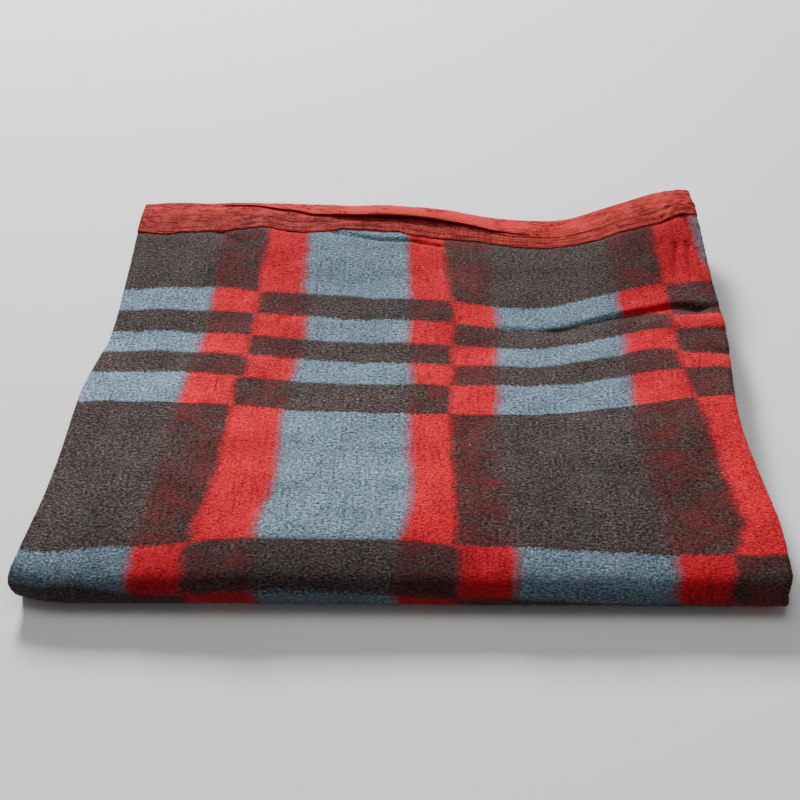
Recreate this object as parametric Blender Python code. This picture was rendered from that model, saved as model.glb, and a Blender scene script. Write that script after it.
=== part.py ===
"""A wool-blend blanket with a ribbon bound along each end, folded in half across and twice along.

The cloth is doubled over at the right, so every layer of the stack is a pair of sheets that share
one fold. The doubled cloth then runs from its bound end, at the back of the top layer, over the
big front roll into the bottom layer, round the back fold into the second layer, and round the
inner front fold into the third, which ends with the other bound end.

Metres, +Z up, +X to the right and +Y to the back. The origin is under the middle of the stack.
"""

import math
from collections import namedtuple

import bpy

# The cloth, laid flat, and how thick it is.
BLANKET_WIDTH = 1.50
BLANKET_LENGTH = 2.30
CLOTH_THICKNESS = 0.004
BOUND_THICKNESS = 0.0026
PRESSED_LENGTH = 0.042
PRESSED_MARGIN = 0.003

# The stack of doubled layers: the air between the two sheets of one, and between one and the next.
SHEET_GAP = 0.0012
LAYER_GAP = 0.0015
LAYERS = 4

# The ribbon, folded over the cloth's end and wider than the cloth that it grips.
RIBBON_WIDTH = 0.058
RIBBON_GRIP = 0.034
RIBBON_THICKNESS = 0.0007
RIBBON_CLEARANCE = 0.0003

# The empty edge of the top ribbon stands up as a lip, and is drawn in as it does.
PUFF_HEIGHT = 0.0085
PUFF_DRAW_IN = 0.006
PUFF_LEFT_X = -0.33
PUFF_LEFT_RISE = 0.12
PUFF_RIGHT_X = 0.195
PUFF_RIGHT_RISE = 0.14

# How finely the shapes are divided.
ACROSS_STEPS = 15
RUN_STEPS = 10
SIDE_FOLD_STEPS = 5
ROLL_STEPS = 8
INNER_FOLD_STEPS = 5

# Heights that follow from the cloth.
SHEET_RADIUS = (CLOTH_THICKNESS + SHEET_GAP) / 2
LAYER_THICKNESS = 2 * CLOTH_THICKNESS + SHEET_GAP
LAYER_PITCH = LAYER_THICKNESS + LAYER_GAP
LAYER_HEIGHTS = [LAYER_THICKNESS / 2 + LAYER_PITCH * layer for layer in range(LAYERS)]
ROLL_RADIUS = (LAYER_HEIGHTS[3] - LAYER_HEIGHTS[0]) / 2
FOLD_RADIUS = LAYER_PITCH / 2

# Lengths that follow from the cloth: what the folds use up is shared out of its length and width.
RIBBON_OVERHANG = RIBBON_WIDTH - RIBBON_GRIP
FOLDS_LENGTH = math.pi * (ROLL_RADIUS + 2 * FOLD_RADIUS)
RUN_LENGTH = (BLANKET_LENGTH - 2 * RIBBON_OVERHANG - FOLDS_LENGTH) / LAYERS
HALF_WIDTH = (BLANKET_WIDTH - math.pi * SHEET_RADIUS) / 2
STACK_DEPTH = RUN_LENGTH + RIBBON_OVERHANG + ROLL_RADIUS + LAYER_THICKNESS / 2
FRONT_FOLD_Y = ROLL_RADIUS + LAYER_THICKNESS / 2 - STACK_DEPTH / 2
RUN_END_Y = FRONT_FOLD_Y + RUN_LENGTH
LEFT_X = -HALF_WIDTH / 2
RIGHT_X = HALF_WIDTH / 2

# Soft swellings of the stack, as the air between its layers lets them rise. The last one sinks the
# top towards the front roll.
Swelling = namedtuple("Swelling", "x y reach_x reach_y height")
SWELLINGS = (
    Swelling(x=-0.24, y=0.27, reach_x=0.46, reach_y=0.26, height=0.0155),
    Swelling(x=-0.10, y=-0.22, reach_x=0.48, reach_y=0.25, height=0.007),
    Swelling(x=0.30, y=-0.10, reach_x=0.30, reach_y=0.30, height=0.007),
    Swelling(x=0.33, y=0.20, reach_x=0.24, reach_y=0.20, height=0.008),
    Swelling(x=0.00, y=-0.31, reach_x=2.00, reach_y=0.11, height=-0.003),
)

# Troughs in the swellings: a soft crease from one point to the other.
Crease = namedtuple("Crease", "start_x start_y end_x end_y half_width share")
CREASES = (
    Crease(start_x=0.10, start_y=0.070, end_x=0.42, end_y=0.092, half_width=0.026, share=0.85),
)

# The top layer's back right corner curls up by itself.
CORNER_LIFT = 0.023
CORNER_REACH_X = 0.20
CORNER_REACH_Y = 0.17

# The back edge is drawn in at one place and stands out at its left, and the front roll's left end is
# rounded off.
Drawn = namedtuple("Drawn", "x reach drawn_in")
DRAWN_EDGES = (
    Drawn(x=0.185, reach=0.18, drawn_in=0.031),
    Drawn(x=-0.34, reach=0.36, drawn_in=-0.006),
)
ROUNDED_IN = 0.006
ROUNDED_REACH = 0.05
ROUNDED_DEPTH = 0.12

# How each layer lies, from the bottom one up: how far its sides stand out, and its share of the curl.
Layer = namedtuple("Layer", "left_out right_out curl")
LAYER_LIES = (
    Layer(left_out=0.003, right_out=-0.004, curl=0.0),
    Layer(left_out=-0.004, right_out=0.001, curl=0.05),
    Layer(left_out=0.002, right_out=-0.003, curl=0.18),
    Layer(left_out=0.000, right_out=0.002, curl=1.0),
)
LOWER_SHEET_IN = 0.003

# Where the sides of the whole stack are drawn in, and how far that reaches to the back and the front.
Waist = namedtuple("Waist", "y reach_back reach_front left_in right_in")
WAISTS = (
    Waist(y=0.30, reach_back=0.10, reach_front=0.26, left_in=0.010, right_in=0.007),
    Waist(y=0.07, reach_back=0.22, reach_front=0.12, left_in=0.014, right_in=0.000),
    Waist(y=-0.09, reach_back=0.16, reach_front=0.15, left_in=0.000, right_in=0.013),
    Waist(y=-0.30, reach_back=0.13, reach_front=0.10, left_in=-0.012, right_in=0.000),
)

CLOTH_COLOUR = (0.055, 0.043, 0.042, 1.0)
RIBBON_COLOUR = (0.52, 0.055, 0.045, 1.0)
CLOTH_ROUGHNESS = 0.95
RIBBON_ROUGHNESS = 0.55

# A place on the doubled cloth's path, seen from the side. The normal points to the face side, and
# layer counts from 0 at the bottom, with fractions inside a fold.
Station = namedtuple("Station", "y z normal_y normal_z layer thickness")

# A place across the doubled cloth: run 0 is its face sheet, 1 the side fold and 2 the back sheet.
# x_share goes from 0 at the open side to 1 at the fold, and angle is how far round the fold it is.
Across = namedtuple("Across", "run x_share angle")


def clear_scene():
    """Starts from nothing, whatever the file held."""
    for thing in list(bpy.data.objects):
        bpy.data.objects.remove(thing, do_unlink=True)


def ease(share):
    """A smooth climb from 0 to 1."""
    share = min(max(share, 0.0), 1.0)
    return share * share * (3 - 2 * share)


def bump(distance, reach):
    """1 at no distance, falling smoothly to 0 at the reach."""
    return 1 - ease(abs(distance) / reach)


def swelling_at(x, y):
    """How far the top of the stack rises at a place, before the corner's curl."""
    rise = sum(s.height * bump(x - s.x, s.reach_x) * bump(y - s.y, s.reach_y) for s in SWELLINGS)
    for crease in CREASES:
        along_x = crease.end_x - crease.start_x
        along_y = crease.end_y - crease.start_y
        length = math.hypot(along_x, along_y)
        from_start = ((x - crease.start_x) * along_x + (y - crease.start_y) * along_y) / length
        aside = ((x - crease.start_x) * along_y - (y - crease.start_y) * along_x) / length
        fade = bump(from_start - length, length)
        rise *= 1 - crease.share * fade * bump(aside, 2 * crease.half_width)
    return rise


def curl_at(x, y):
    """How far the top layer's corner curls up at a place."""
    from_side = (RIGHT_X - x) / CORNER_REACH_X
    from_end = (RUN_END_Y - y) / CORNER_REACH_Y
    return CORNER_LIFT * ease(1 - from_side) * ease(1 - from_end)


def drawn_at(x, y):
    """How far a place is shifted along Y: the back edge drawn in, and the front roll's left end."""
    to_back = ease((y - FRONT_FOLD_Y) / RUN_LENGTH)
    to_front = ease(1 - (y - FRONT_FOLD_Y) / ROUNDED_DEPTH)
    to_left = max(0.0, 1 - (x - LEFT_X) / ROUNDED_REACH)
    drawn_in = sum(edge.drawn_in * bump(x - edge.x, edge.reach) for edge in DRAWN_EDGES)
    return ROUNDED_IN * to_left**2 * to_front - drawn_in * to_back


def settled(x, station, offset, beyond=0.0):
    """The place in the room of a point of the stack.

    offset is measured from the middle of the doubled cloth along its normal, and beyond is how
    far past the station, towards the back, the point lies.
    """
    y = station.y + beyond
    climb = (station.z - LAYER_HEIGHTS[0]) / (LAYER_HEIGHTS[3] - LAYER_HEIGHTS[0])
    rise = swelling_at(x, y) * climb + curl_at(x, y) * layer_value(station.layer, "curl")
    return (
        x,
        y + offset * station.normal_y + drawn_at(x, y),
        station.z + offset * station.normal_z + rise,
    )


def layer_value(layer, column):
    """A column of LAYER_LIES at a layer, or between two layers where the cloth is in a fold."""
    below = min(int(layer), LAYERS - 2)
    share = layer - below
    low = getattr(LAYER_LIES[below], column)
    high = getattr(LAYER_LIES[below + 1], column)
    return low + (high - low) * share


def run_stations(layer, face, from_y, to_y):
    """The stations of one flat run, with face +1 where the face side is up."""
    places = [from_y + (to_y - from_y) * step / RUN_STEPS for step in range(RUN_STEPS + 1)]
    return [Station(y, LAYER_HEIGHTS[layer], 0.0, face, layer, CLOTH_THICKNESS) for y in places]


def fold_stations(from_layer, to_layer, centre_y, bulge, face, steps):
    """The stations inside a fold, with bulge -1 to the front or +1 to the back.

    face is +1 where the face side is on the outside of the fold.
    """
    middle = (LAYER_HEIGHTS[from_layer] + LAYER_HEIGHTS[to_layer]) / 2
    radius = (LAYER_HEIGHTS[to_layer] - LAYER_HEIGHTS[from_layer]) / 2
    stations = []
    for step in range(1, steps):
        turn = math.pi * step / steps
        out_y = bulge * math.sin(turn)
        out_z = -math.copysign(1, radius) * math.cos(turn)
        stations.append(
            Station(
                centre_y + abs(radius) * out_y,
                middle + abs(radius) * out_z,
                face * out_y,
                face * out_z,
                from_layer + (to_layer - from_layer) * step / steps,
                CLOTH_THICKNESS,
            )
        )
    return stations


def bound_stations(layer, face, end_y):
    """The stations of the cloth's pressed end, inside the ribbon's grip, out to its edge."""
    return [
        Station(end_y - back, LAYER_HEIGHTS[layer], 0.0, face, layer, BOUND_THICKNESS)
        for back in (RIBBON_GRIP + PRESSED_MARGIN, RIBBON_GRIP, RIBBON_GRIP / 2, 0.0)
    ]


def cloth_stations():
    """The whole path of the doubled cloth, from its top bound end to the one below."""
    pressed_y = RUN_END_Y - PRESSED_LENGTH
    top_end = bound_stations(3, 1.0, RUN_END_Y)[::-1]
    lower_end = bound_stations(2, -1.0, RUN_END_Y)
    return (
        top_end
        + run_stations(3, 1.0, pressed_y, FRONT_FOLD_Y)
        + fold_stations(3, 0, FRONT_FOLD_Y, -1, 1, ROLL_STEPS)
        + run_stations(0, -1.0, FRONT_FOLD_Y, RUN_END_Y)
        + fold_stations(0, 1, RUN_END_Y, 1, 1, INNER_FOLD_STEPS)
        + run_stations(1, 1.0, RUN_END_Y, FRONT_FOLD_Y)
        + fold_stations(1, 2, FRONT_FOLD_Y, -1, -1, INNER_FOLD_STEPS)
        + run_stations(2, -1.0, FRONT_FOLD_Y, pressed_y)
        + lower_end
    )


def across_rows():
    """The rows across the doubled cloth: the first sheet, the side fold, and the second sheet back."""
    first = [Across(0, step / ACROSS_STEPS, 0.0) for step in range(ACROSS_STEPS + 1)]
    fold = [Across(1, 1.0, math.pi * step / SIDE_FOLD_STEPS) for step in range(1, SIDE_FOLD_STEPS)]
    second = [Across(2, 1 - step / ACROSS_STEPS, math.pi) for step in range(ACROSS_STEPS + 1)]
    return first + fold + second


def side_in(y, column):
    """How far a side of the stack is drawn in at a place along it."""
    total = 0.0
    for waist in WAISTS:
        reach = waist.reach_back if y > waist.y else waist.reach_front
        total += getattr(waist, column) * bump(y - waist.y, reach)
    return total


def doubled_point(across, station, height, beyond=0.0):
    """A point of the doubled cloth, at a height above the middle of its own sheet."""
    y = station.y + beyond
    left = LEFT_X - layer_value(station.layer, "left_out") + side_in(y, "left_in")
    left += LOWER_SHEET_IN if across.run == 2 else 0.0
    right = RIGHT_X + layer_value(station.layer, "right_out") - side_in(y, "right_in")
    radius = SHEET_RADIUS + height
    x = left + (right - left) * across.x_share + radius * math.sin(across.angle)
    return settled(x, station, radius * math.cos(across.angle), beyond)


def slab(name, outside, inside, colour, roughness):
    """A closed solid between two grids of points that have the same rows and columns.

    Every square is split along the diagonal that climbs in both X and Y, so that sheets that
    face each other are split alike and keep their gap.
    """
    rows = len(outside)
    columns = len(outside[0])
    points = [point for grid in (outside, inside) for row in grid for point in row]
    faces = []

    def index(side, row, column):
        return (side * rows + row) * columns + column

    for row in range(rows - 1):
        for column in range(columns - 1):
            corner = outside[row][column]
            step_x = outside[row][column + 1][0] + outside[row + 1][column + 1][0] - 2 * corner[0]
            step_y = outside[row + 1][column][1] + outside[row + 1][column + 1][1] - 2 * corner[1]
            for side in (0, 1):
                a = index(side, row, column)
                b = index(side, row, column + 1)
                c = index(side, row + 1, column + 1)
                d = index(side, row + 1, column)
                halves = [(a, b, c), (a, c, d)] if step_x * step_y >= 0 else [(a, b, d), (b, c, d)]
                faces += halves if side == 1 else [half[::-1] for half in halves]
    rim = [(0, column) for column in range(columns - 1)]
    rim += [(row, columns - 1) for row in range(rows - 1)]
    rim += [(rows - 1, column) for column in range(columns - 1, 0, -1)]
    rim += [(row, 0) for row in range(rows - 1, 0, -1)]
    for (row, column), (next_row, next_column) in zip(rim, rim[1:] + rim[:1]):
        faces.append(
            (
                index(0, next_row, next_column),
                index(1, next_row, next_column),
                index(1, row, column),
                index(0, row, column),
            )
        )
    mesh = bpy.data.meshes.new(name)
    mesh.from_pydata(points, [], faces)
    mesh.materials.append(finish(name, colour, roughness))
    mesh.shade_smooth()
    mesh.set_sharp_from_angle(angle=math.radians(50))
    solid = bpy.data.objects.new(name, mesh)
    bpy.context.scene.collection.objects.link(solid)
    return solid


def finish(name, colour, roughness):
    """A plain material of its own for one solid."""
    material = bpy.data.materials.new(name)
    material.use_nodes = True
    shader = material.node_tree.nodes["Principled BSDF"]
    shader.inputs["Base Color"].default_value = colour
    shader.inputs["Roughness"].default_value = roughness
    shader.inputs["Metallic"].default_value = 0.0
    return material


def make_cloth():
    """The blanket's one piece of cloth, as the two faces of the sheet on its folded path."""
    stations = cloth_stations()
    rows = across_rows()
    face = [[doubled_point(a, s, s.thickness / 2) for a in rows] for s in stations]
    back = [[doubled_point(a, s, -s.thickness / 2) for a in rows] for s in stations]
    return slab("blanket_cloth", face, back, CLOTH_COLOUR, CLOTH_ROUGHNESS)


def ribbon_section(puff):
    """The ribbon's outer line as (beyond the cloth's end, height above the sheet's middle).

    It starts on the outer face, runs out over the cloth's end and back along the inner face. A
    puff of 1 raises the empty outer part into a lip, with a valley between it and the cloth.
    """
    top = BOUND_THICKNESS / 2 + RIBBON_CLEARANCE + RIBBON_THICKNESS
    lip = RIBBON_OVERHANG - PUFF_DRAW_IN * puff
    return [
        (-RIBBON_GRIP, top),
        (-RIBBON_GRIP / 2, top),
        (0.0, top),
        (lip * 0.22, top - 0.6 * top * puff),
        (lip * 0.46, top * 0.9 + PUFF_HEIGHT * puff),
        (lip * 0.75, top * 0.8 + PUFF_HEIGHT * 0.7 * puff),
        (lip, 0.0),
        (lip * 0.75, -top * 0.8),
        (0.0, -top),
        (-RIBBON_GRIP / 2, -top),
        (-RIBBON_GRIP, -top),
    ]


def inner_line(line, distance):
    """The line again, moved by that distance to its right-hand side, with mitred corners."""
    moved = []
    for place, (beyond, height) in enumerate(line):
        before = line[max(place - 1, 0)]
        after = line[min(place + 1, len(line) - 1)]
        normals = []
        for start, end in ((before, (beyond, height)), ((beyond, height), after)):
            length = math.hypot(end[0] - start[0], end[1] - start[1])
            if length > 0:
                normals.append(((end[1] - start[1]) / length, (start[0] - end[0]) / length))
        mean_beyond = sum(normal[0] for normal in normals)
        mean_height = sum(normal[1] for normal in normals)
        scale = distance * len(normals) / (mean_beyond**2 + mean_height**2)
        moved.append((beyond + mean_beyond * scale, height + mean_height * scale))
    return moved


def make_ribbon(name, layer, face, puff_at):
    """The ribbon over one end of the doubled cloth, with its lip puffed as far as puff_at says."""
    end = bound_stations(layer, face, RUN_END_Y)[-1]
    rows = across_rows()
    outside = []
    inside = []
    for across in rows:
        x = doubled_point(across, end, 0.0)[0]
        line = ribbon_section(puff_at(x) if across.run == 0 else 0.0)
        outside.append([doubled_point(across, end, height, beyond) for beyond, height in line])
        inner = inner_line(line, RIBBON_THICKNESS)
        inside.append([doubled_point(across, end, height, beyond) for beyond, height in inner])
    if face < 0:
        outside = outside[::-1]
        inside = inside[::-1]
    return slab(name, outside, inside, RIBBON_COLOUR, RIBBON_ROUGHNESS)


def top_puff(x):
    """The top ribbon's lip stands up between its left end and where the back edge is drawn in."""
    return ease((x - PUFF_LEFT_X) / PUFF_LEFT_RISE) * ease((PUFF_RIGHT_X - x) / PUFF_RIGHT_RISE)


def no_puff(x):
    """The lower ribbon lies flat all along."""
    return 0.0


def centre_on_origin(solids):
    """Moves the stack so that the origin is under the middle of its box."""
    points = [vertex.co for solid in solids for vertex in solid.data.vertices]
    shift_x = -(min(p.x for p in points) + max(p.x for p in points)) / 2
    shift_y = -(min(p.y for p in points) + max(p.y for p in points)) / 2
    for solid in solids:
        for vertex in solid.data.vertices:
            vertex.co.x += shift_x
            vertex.co.y += shift_y


def main():
    clear_scene()
    solids = [
        make_cloth(),
        make_ribbon("top_end_ribbon", 3, 1.0, top_puff),
        make_ribbon("lower_end_ribbon", 2, -1.0, no_puff),
    ]
    centre_on_origin(solids)


main()
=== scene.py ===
"""Dresses the folded check blanket: brushed wool cloth, ribbon bindings, their stitching and the nap.

The cloth and both ribbons are fine sheets on the folds that the solids have. Lengths are metres.
"""

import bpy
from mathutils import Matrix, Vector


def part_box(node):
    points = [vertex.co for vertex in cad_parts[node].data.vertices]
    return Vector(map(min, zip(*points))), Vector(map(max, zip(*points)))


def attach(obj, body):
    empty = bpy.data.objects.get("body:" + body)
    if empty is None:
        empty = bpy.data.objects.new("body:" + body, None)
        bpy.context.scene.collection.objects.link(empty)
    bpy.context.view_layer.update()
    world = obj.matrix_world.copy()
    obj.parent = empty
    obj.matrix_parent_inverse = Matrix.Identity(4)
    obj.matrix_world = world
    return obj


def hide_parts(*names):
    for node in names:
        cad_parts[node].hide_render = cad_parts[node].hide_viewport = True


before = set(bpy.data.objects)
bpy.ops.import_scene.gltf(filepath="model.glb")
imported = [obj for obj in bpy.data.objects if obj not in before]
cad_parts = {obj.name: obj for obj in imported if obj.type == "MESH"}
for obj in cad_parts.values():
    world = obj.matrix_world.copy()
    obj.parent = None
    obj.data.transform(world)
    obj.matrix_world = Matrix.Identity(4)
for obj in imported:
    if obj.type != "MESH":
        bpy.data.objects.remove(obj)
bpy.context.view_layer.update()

import logging
import math
from dataclasses import dataclass, field
from enum import Enum
from typing import NamedTuple

import bpy
import numpy as np
from mathutils import Matrix, Vector

log = logging.getLogger("blanket")

# The maps hold metres divided by their span, which keeps them inside one square.
MAP_NAME = "cloth_metres"
CHECK_NAME = "check_metres"
MAP_SPAN = 2.4

# How far both rows of stitching lie from the ribbon's inner edge.
STITCH_LINES = (0.010, 0.022)


class Side(Enum):
    """Which way the face of the doubled cloth looks on a run."""

    UP = 1.0
    DOWN = -1.0


class Swelling(NamedTuple):
    """A soft rise of the whole stack."""

    x: float
    y: float
    reach_x: float
    reach_y: float
    height: float


class Crease(NamedTuple):
    """A trough along a line, with its depths at the line's start and end.

    Its widths are how far it reaches to the back and to the front. The cloth behind it leans over it
    by the lean at the line's end, which makes its back wall steep.
    """

    line: tuple[tuple[float, float], ...]
    depths: tuple[float, float]
    widths: tuple[float, float]
    lean: float = 0.0


class Drawn(NamedTuple):
    """A place where the back edge is drawn in, or stands out where the amount is negative."""

    x: float
    reach: float
    drawn_in: float


class Waist(NamedTuple):
    """A place where the sides of the stack are drawn in."""

    y: float
    reach_back: float
    reach_front: float
    left_in: float
    right_in: float


class Wave(NamedTuple):
    """A shallow unevenness of the stack: its lengths in X and Y, its phase and its height."""

    length_x: float
    length_y: float
    phase: float
    height: float


class Stretch(NamedTuple):
    """A stretch of cloth: its middle, half of its full length, and how far it fades out past that."""

    middle: float
    held: float
    fade: float

    def share(self, place: np.ndarray) -> np.ndarray:
        """Return 1 inside the stretch, falling to 0 past it."""
        return ease(1 - (np.abs(place - self.middle) - self.held) / self.fade)


class Drift(NamedTuple):
    """A patch of the woven check that has been pushed across and along the cloth."""

    across: Stretch
    along: Stretch
    push: tuple[float, float]

    def share(self, across: np.ndarray, along: np.ndarray) -> np.ndarray:
        """Return how much of the push reaches each place."""
        return self.across.share(across) * self.along.share(along)


def ease(share: np.ndarray | float) -> np.ndarray:
    """Return a smooth climb from 0 to 1 as share goes from 0 to 1."""
    held = np.clip(share, 0.0, 1.0)
    return held * held * (3.0 - 2.0 * held)


def bump(distance: np.ndarray | float, reach: float) -> np.ndarray:
    """Return 1 at no distance, falling smoothly to 0 at the reach."""
    return 1.0 - ease(np.abs(distance) / reach)


def between(knots: tuple[tuple[float, float], ...], place: np.ndarray) -> np.ndarray:
    """Return values that ease from one knot to the next.

    Args:
        knots: Each knot's place and value.
        place: Where to read them.

    Returns:
        The value at each place, which is held past the first and the last knot.
    """
    places, values = (np.array(part) for part in zip(*knots))
    index = np.clip(np.searchsorted(places, place) - 1, 0, len(places) - 2)
    share = ease((place - places[index]) / (places[index + 1] - places[index]))
    return values[index] + share * (values[index + 1] - values[index])


def mesh_object(
    name: str, points: np.ndarray, faces: list[list[int]] | np.ndarray, maps: dict[str, np.ndarray]
) -> bpy.types.Object:
    """Make a smooth mesh object at the origin.

    Args:
        name: The piece's name.
        points: Its points, one row each.
        faces: The point numbers of each face.
        maps: The coordinates of each point on each of its maps, in metres.

    Returns:
        The new object, linked to the scene.
    """
    mesh = bpy.data.meshes.new(name)
    mesh.from_pydata(points.tolist(), [], faces.tolist() if isinstance(faces, np.ndarray) else faces)
    corners = np.empty(len(mesh.loops), dtype=np.int32)
    mesh.loops.foreach_get("vertex_index", corners)
    for title, metres in maps.items():
        layer = mesh.uv_layers.new(name=title)
        layer.uv.foreach_set("vector", (metres[corners] / MAP_SPAN).astype(np.float32).ravel())
    mesh.shade_smooth()
    piece = bpy.data.objects.new(name, mesh)
    bpy.context.scene.collection.objects.link(piece)
    return piece


def slab_faces(rows: int, columns: int, outward: bool) -> np.ndarray:
    """Return the faces of a closed sheet between two grids of points.

    Args:
        rows: The rows of each grid.
        columns: The columns of each grid.
        outward: Whether rows crossed with columns point out of the first grid.

    Returns:
        The corners of every face, as numbers into the first grid's points and then the second's.
    """
    number = np.arange(2 * rows * columns).reshape(2, rows, columns)

    def squares(grid: np.ndarray, flipped: bool) -> np.ndarray:
        """Return the grid's squares, turned over if asked."""
        found = np.stack([grid[:-1, :-1], grid[1:, :-1], grid[1:, 1:], grid[:-1, 1:]], -1).reshape(-1, 4)
        return found[:, ::-1] if flipped else found

    rim = [
        squares(number[:, 0, :], outward),
        squares(number[:, -1, :], not outward),
        squares(number[:, :, 0], not outward),
        squares(number[:, :, -1], outward),
    ]
    return np.concatenate([squares(number[0], not outward), squares(number[1], outward), *rim])


@dataclass(frozen=True)
class Path:
    """Places along the doubled cloth, as arrays of one length."""

    y: np.ndarray
    z: np.ndarray
    normal_y: np.ndarray
    normal_z: np.ndarray
    layer: np.ndarray
    along: np.ndarray


@dataclass(frozen=True)
class Across:
    """Places across the doubled cloth: its face sheet, the side fold and the back sheet."""

    share: np.ndarray
    angle: np.ndarray
    lower: np.ndarray
    metres: np.ndarray


@dataclass
class FoldedStack:
    """How the doubled cloth lies in its nested fold, with the unevenness of a real stack."""

    blanket_width: float = 1.50
    blanket_length: float = 2.30
    cloth_thickness: float = 0.004
    bound_thickness: float = 0.0026
    sheet_gap: float = 0.0012
    layer_gap: float = 0.0015
    layers: int = 4
    ribbon_width: float = 0.058
    ribbon_grip: float = 0.034
    ribbon_wander: tuple[tuple[float, float], ...] = (
        (0.00, 0.002), (0.035, 0.006), (0.075, 0.004), (0.125, 0.001), (0.178, -0.006), (0.215, 0.003),
        (0.245, 0.003), (0.285, -0.002), (0.355, 0.000), (0.385, 0.005), (0.425, 0.004), (0.480, -0.001),
        (0.570, -0.001), (0.625, 0.004), (0.690, 0.007), (0.740, -0.002), (0.780, 0.002), (1.10, -0.002),
        (1.50, 0.001),
    )
    bound_zone: float = 0.060
    bound_step: float = 0.62
    creased_zone: tuple[float, float] = (0.118, 0.066)
    creased_step: float = 0.56
    lower_end_zone: float = 0.056
    lower_end_step: float = 0.0045
    roll_steps: int = 18
    fold_steps: int = 9
    corner_lift: float = 0.023
    corner_reach_x: float = 0.20
    corner_reach_y: float = 0.17
    rounded_in: float = 0.006
    rounded_reach: float = 0.05
    rounded_depth: float = 0.12
    lower_sheet_in: float = 0.003
    crease_points: int = 41
    crease_turn: float = 0.004
    lean_start: float = 0.2
    lean_reach: float = 0.020
    left_out: tuple[float, ...] = (0.003, -0.004, 0.002, 0.000)
    right_out: tuple[float, ...] = (-0.004, 0.001, -0.003, 0.002)
    curl: tuple[float, ...] = (0.0, 0.05, 0.18, 1.0)
    shift: tuple[float, float] = (0.0, 0.0)
    swellings: tuple[Swelling, ...] = (
        Swelling(x=-0.24, y=0.27, reach_x=0.46, reach_y=0.26, height=0.0155),
        Swelling(x=-0.10, y=-0.22, reach_x=0.48, reach_y=0.25, height=0.007),
        Swelling(x=0.30, y=-0.10, reach_x=0.30, reach_y=0.30, height=0.007),
        Swelling(x=0.33, y=0.20, reach_x=0.24, reach_y=0.20, height=0.008),
        Swelling(x=0.00, y=-0.31, reach_x=2.00, reach_y=0.11, height=-0.003),
    )
    drawn_edges: tuple[Drawn, ...] = (
        Drawn(x=0.185, reach=0.18, drawn_in=0.031),
        Drawn(x=-0.34, reach=0.36, drawn_in=-0.006),
    )
    waists: tuple[Waist, ...] = (
        Waist(y=0.30, reach_back=0.10, reach_front=0.26, left_in=0.010, right_in=0.007),
        Waist(y=0.07, reach_back=0.22, reach_front=0.12, left_in=0.014, right_in=0.000),
        Waist(y=-0.09, reach_back=0.16, reach_front=0.15, left_in=0.000, right_in=0.013),
        Waist(y=-0.30, reach_back=0.13, reach_front=0.10, left_in=-0.012, right_in=0.000),
    )
    creases: tuple[Crease, ...] = (
        Crease(
            ((0.12, 0.078), (0.186, 0.080), (0.210, 0.089), (0.237, 0.093), (0.291, 0.097), (0.320, 0.098),
             (0.350, 0.094)),
            depths=(0.0022, 0.0074), widths=(0.0038, 0.014), lean=0.0038,
        ),
        Crease(
            ((0.354, 0.094), (0.40, 0.086)),
            depths=(0.0036, 0.0014), widths=(0.0046, 0.012),
        ),
        Crease(
            ((0.31, 0.050), (0.335, 0.049), (0.40, 0.053)),
            depths=(0.0002, 0.0038), widths=(0.0036, 0.008), lean=0.0012,
        ),
        Crease(
            ((0.320, 0.024), (0.345, 0.019), (0.40, 0.014)),
            depths=(0.0002, 0.0042), widths=(0.0036, 0.009), lean=0.0014,
        ),
        Crease(
            ((-0.095, 0.232), (-0.063, 0.226), (-0.031, 0.220), (0.004, 0.221), (0.045, 0.217)),
            depths=(0.0046, 0.0034), widths=(0.0030, 0.004), lean=0.0020,
        ),
        Crease(
            ((-0.250, 0.232), (-0.222, 0.212), (-0.200, 0.190)),
            depths=(0.0034, 0.0010), widths=(0.005, 0.007),
        ),
        Crease(
            ((-0.40, 0.046), (-0.36, 0.047), (-0.30, 0.050)),
            depths=(0.0036, 0.0002), widths=(0.006, 0.014),
        ),
        Crease(
            ((0.340, 0.190), (0.3375, 0.163), (0.334, 0.140)),
            depths=(0.0052, 0.0016), widths=(0.0030, 0.0034),
        ),
        Crease(
            ((0.356, 0.190), (0.3545, 0.160), (0.3555, 0.136)),
            depths=(0.0050, 0.0026), widths=(0.0030, 0.0034),
        ),
        Crease(
            ((0.368, 0.180), (0.3655, 0.150), (0.3660, 0.120)),
            depths=(0.0016, 0.0016), widths=(0.0030, 0.0030),
        ),
        Crease(
            ((-0.20, 0.160), (-0.10, 0.150), (0.02, 0.155)),
            depths=(0.0005, 0.0008), widths=(0.014, 0.020),
        ),
        Crease(
            ((-0.30, -0.120), (-0.16, -0.135), (0.00, -0.120)),
            depths=(0.0008, 0.0004), widths=(0.022, 0.030),
        ),
        Crease(
            ((0.05, -0.160), (0.18, -0.150), (0.30, -0.175)),
            depths=(0.0004, 0.0008), widths=(0.020, 0.030),
        ),
    )
    waves: tuple[Wave, ...] = (
        Wave(length_x=0.31, length_y=0.83, phase=0.6, height=0.0009),
        Wave(length_x=0.17, length_y=-0.29, phase=2.1, height=0.0006),
        Wave(length_x=-0.43, length_y=0.16, phase=4.0, height=0.0007),
        Wave(length_x=0.093, length_y=0.21, phase=1.3, height=0.00035),
        Wave(length_x=-0.071, length_y=0.098, phase=5.2, height=0.00025),
    )

    @property
    def sheet_radius(self) -> float:
        """Half of the step between the two sheets of one layer."""
        return (self.cloth_thickness + self.sheet_gap) / 2

    @property
    def heights(self) -> list[float]:
        """The middle height of each layer, from the bottom one up."""
        thick = 2 * self.cloth_thickness + self.sheet_gap
        return [thick / 2 + (thick + self.layer_gap) * layer for layer in range(self.layers)]

    @property
    def roll_radius(self) -> float:
        """The radius of the big front roll, at the middle of the doubled cloth."""
        return (self.heights[-1] - self.heights[0]) / 2

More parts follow.
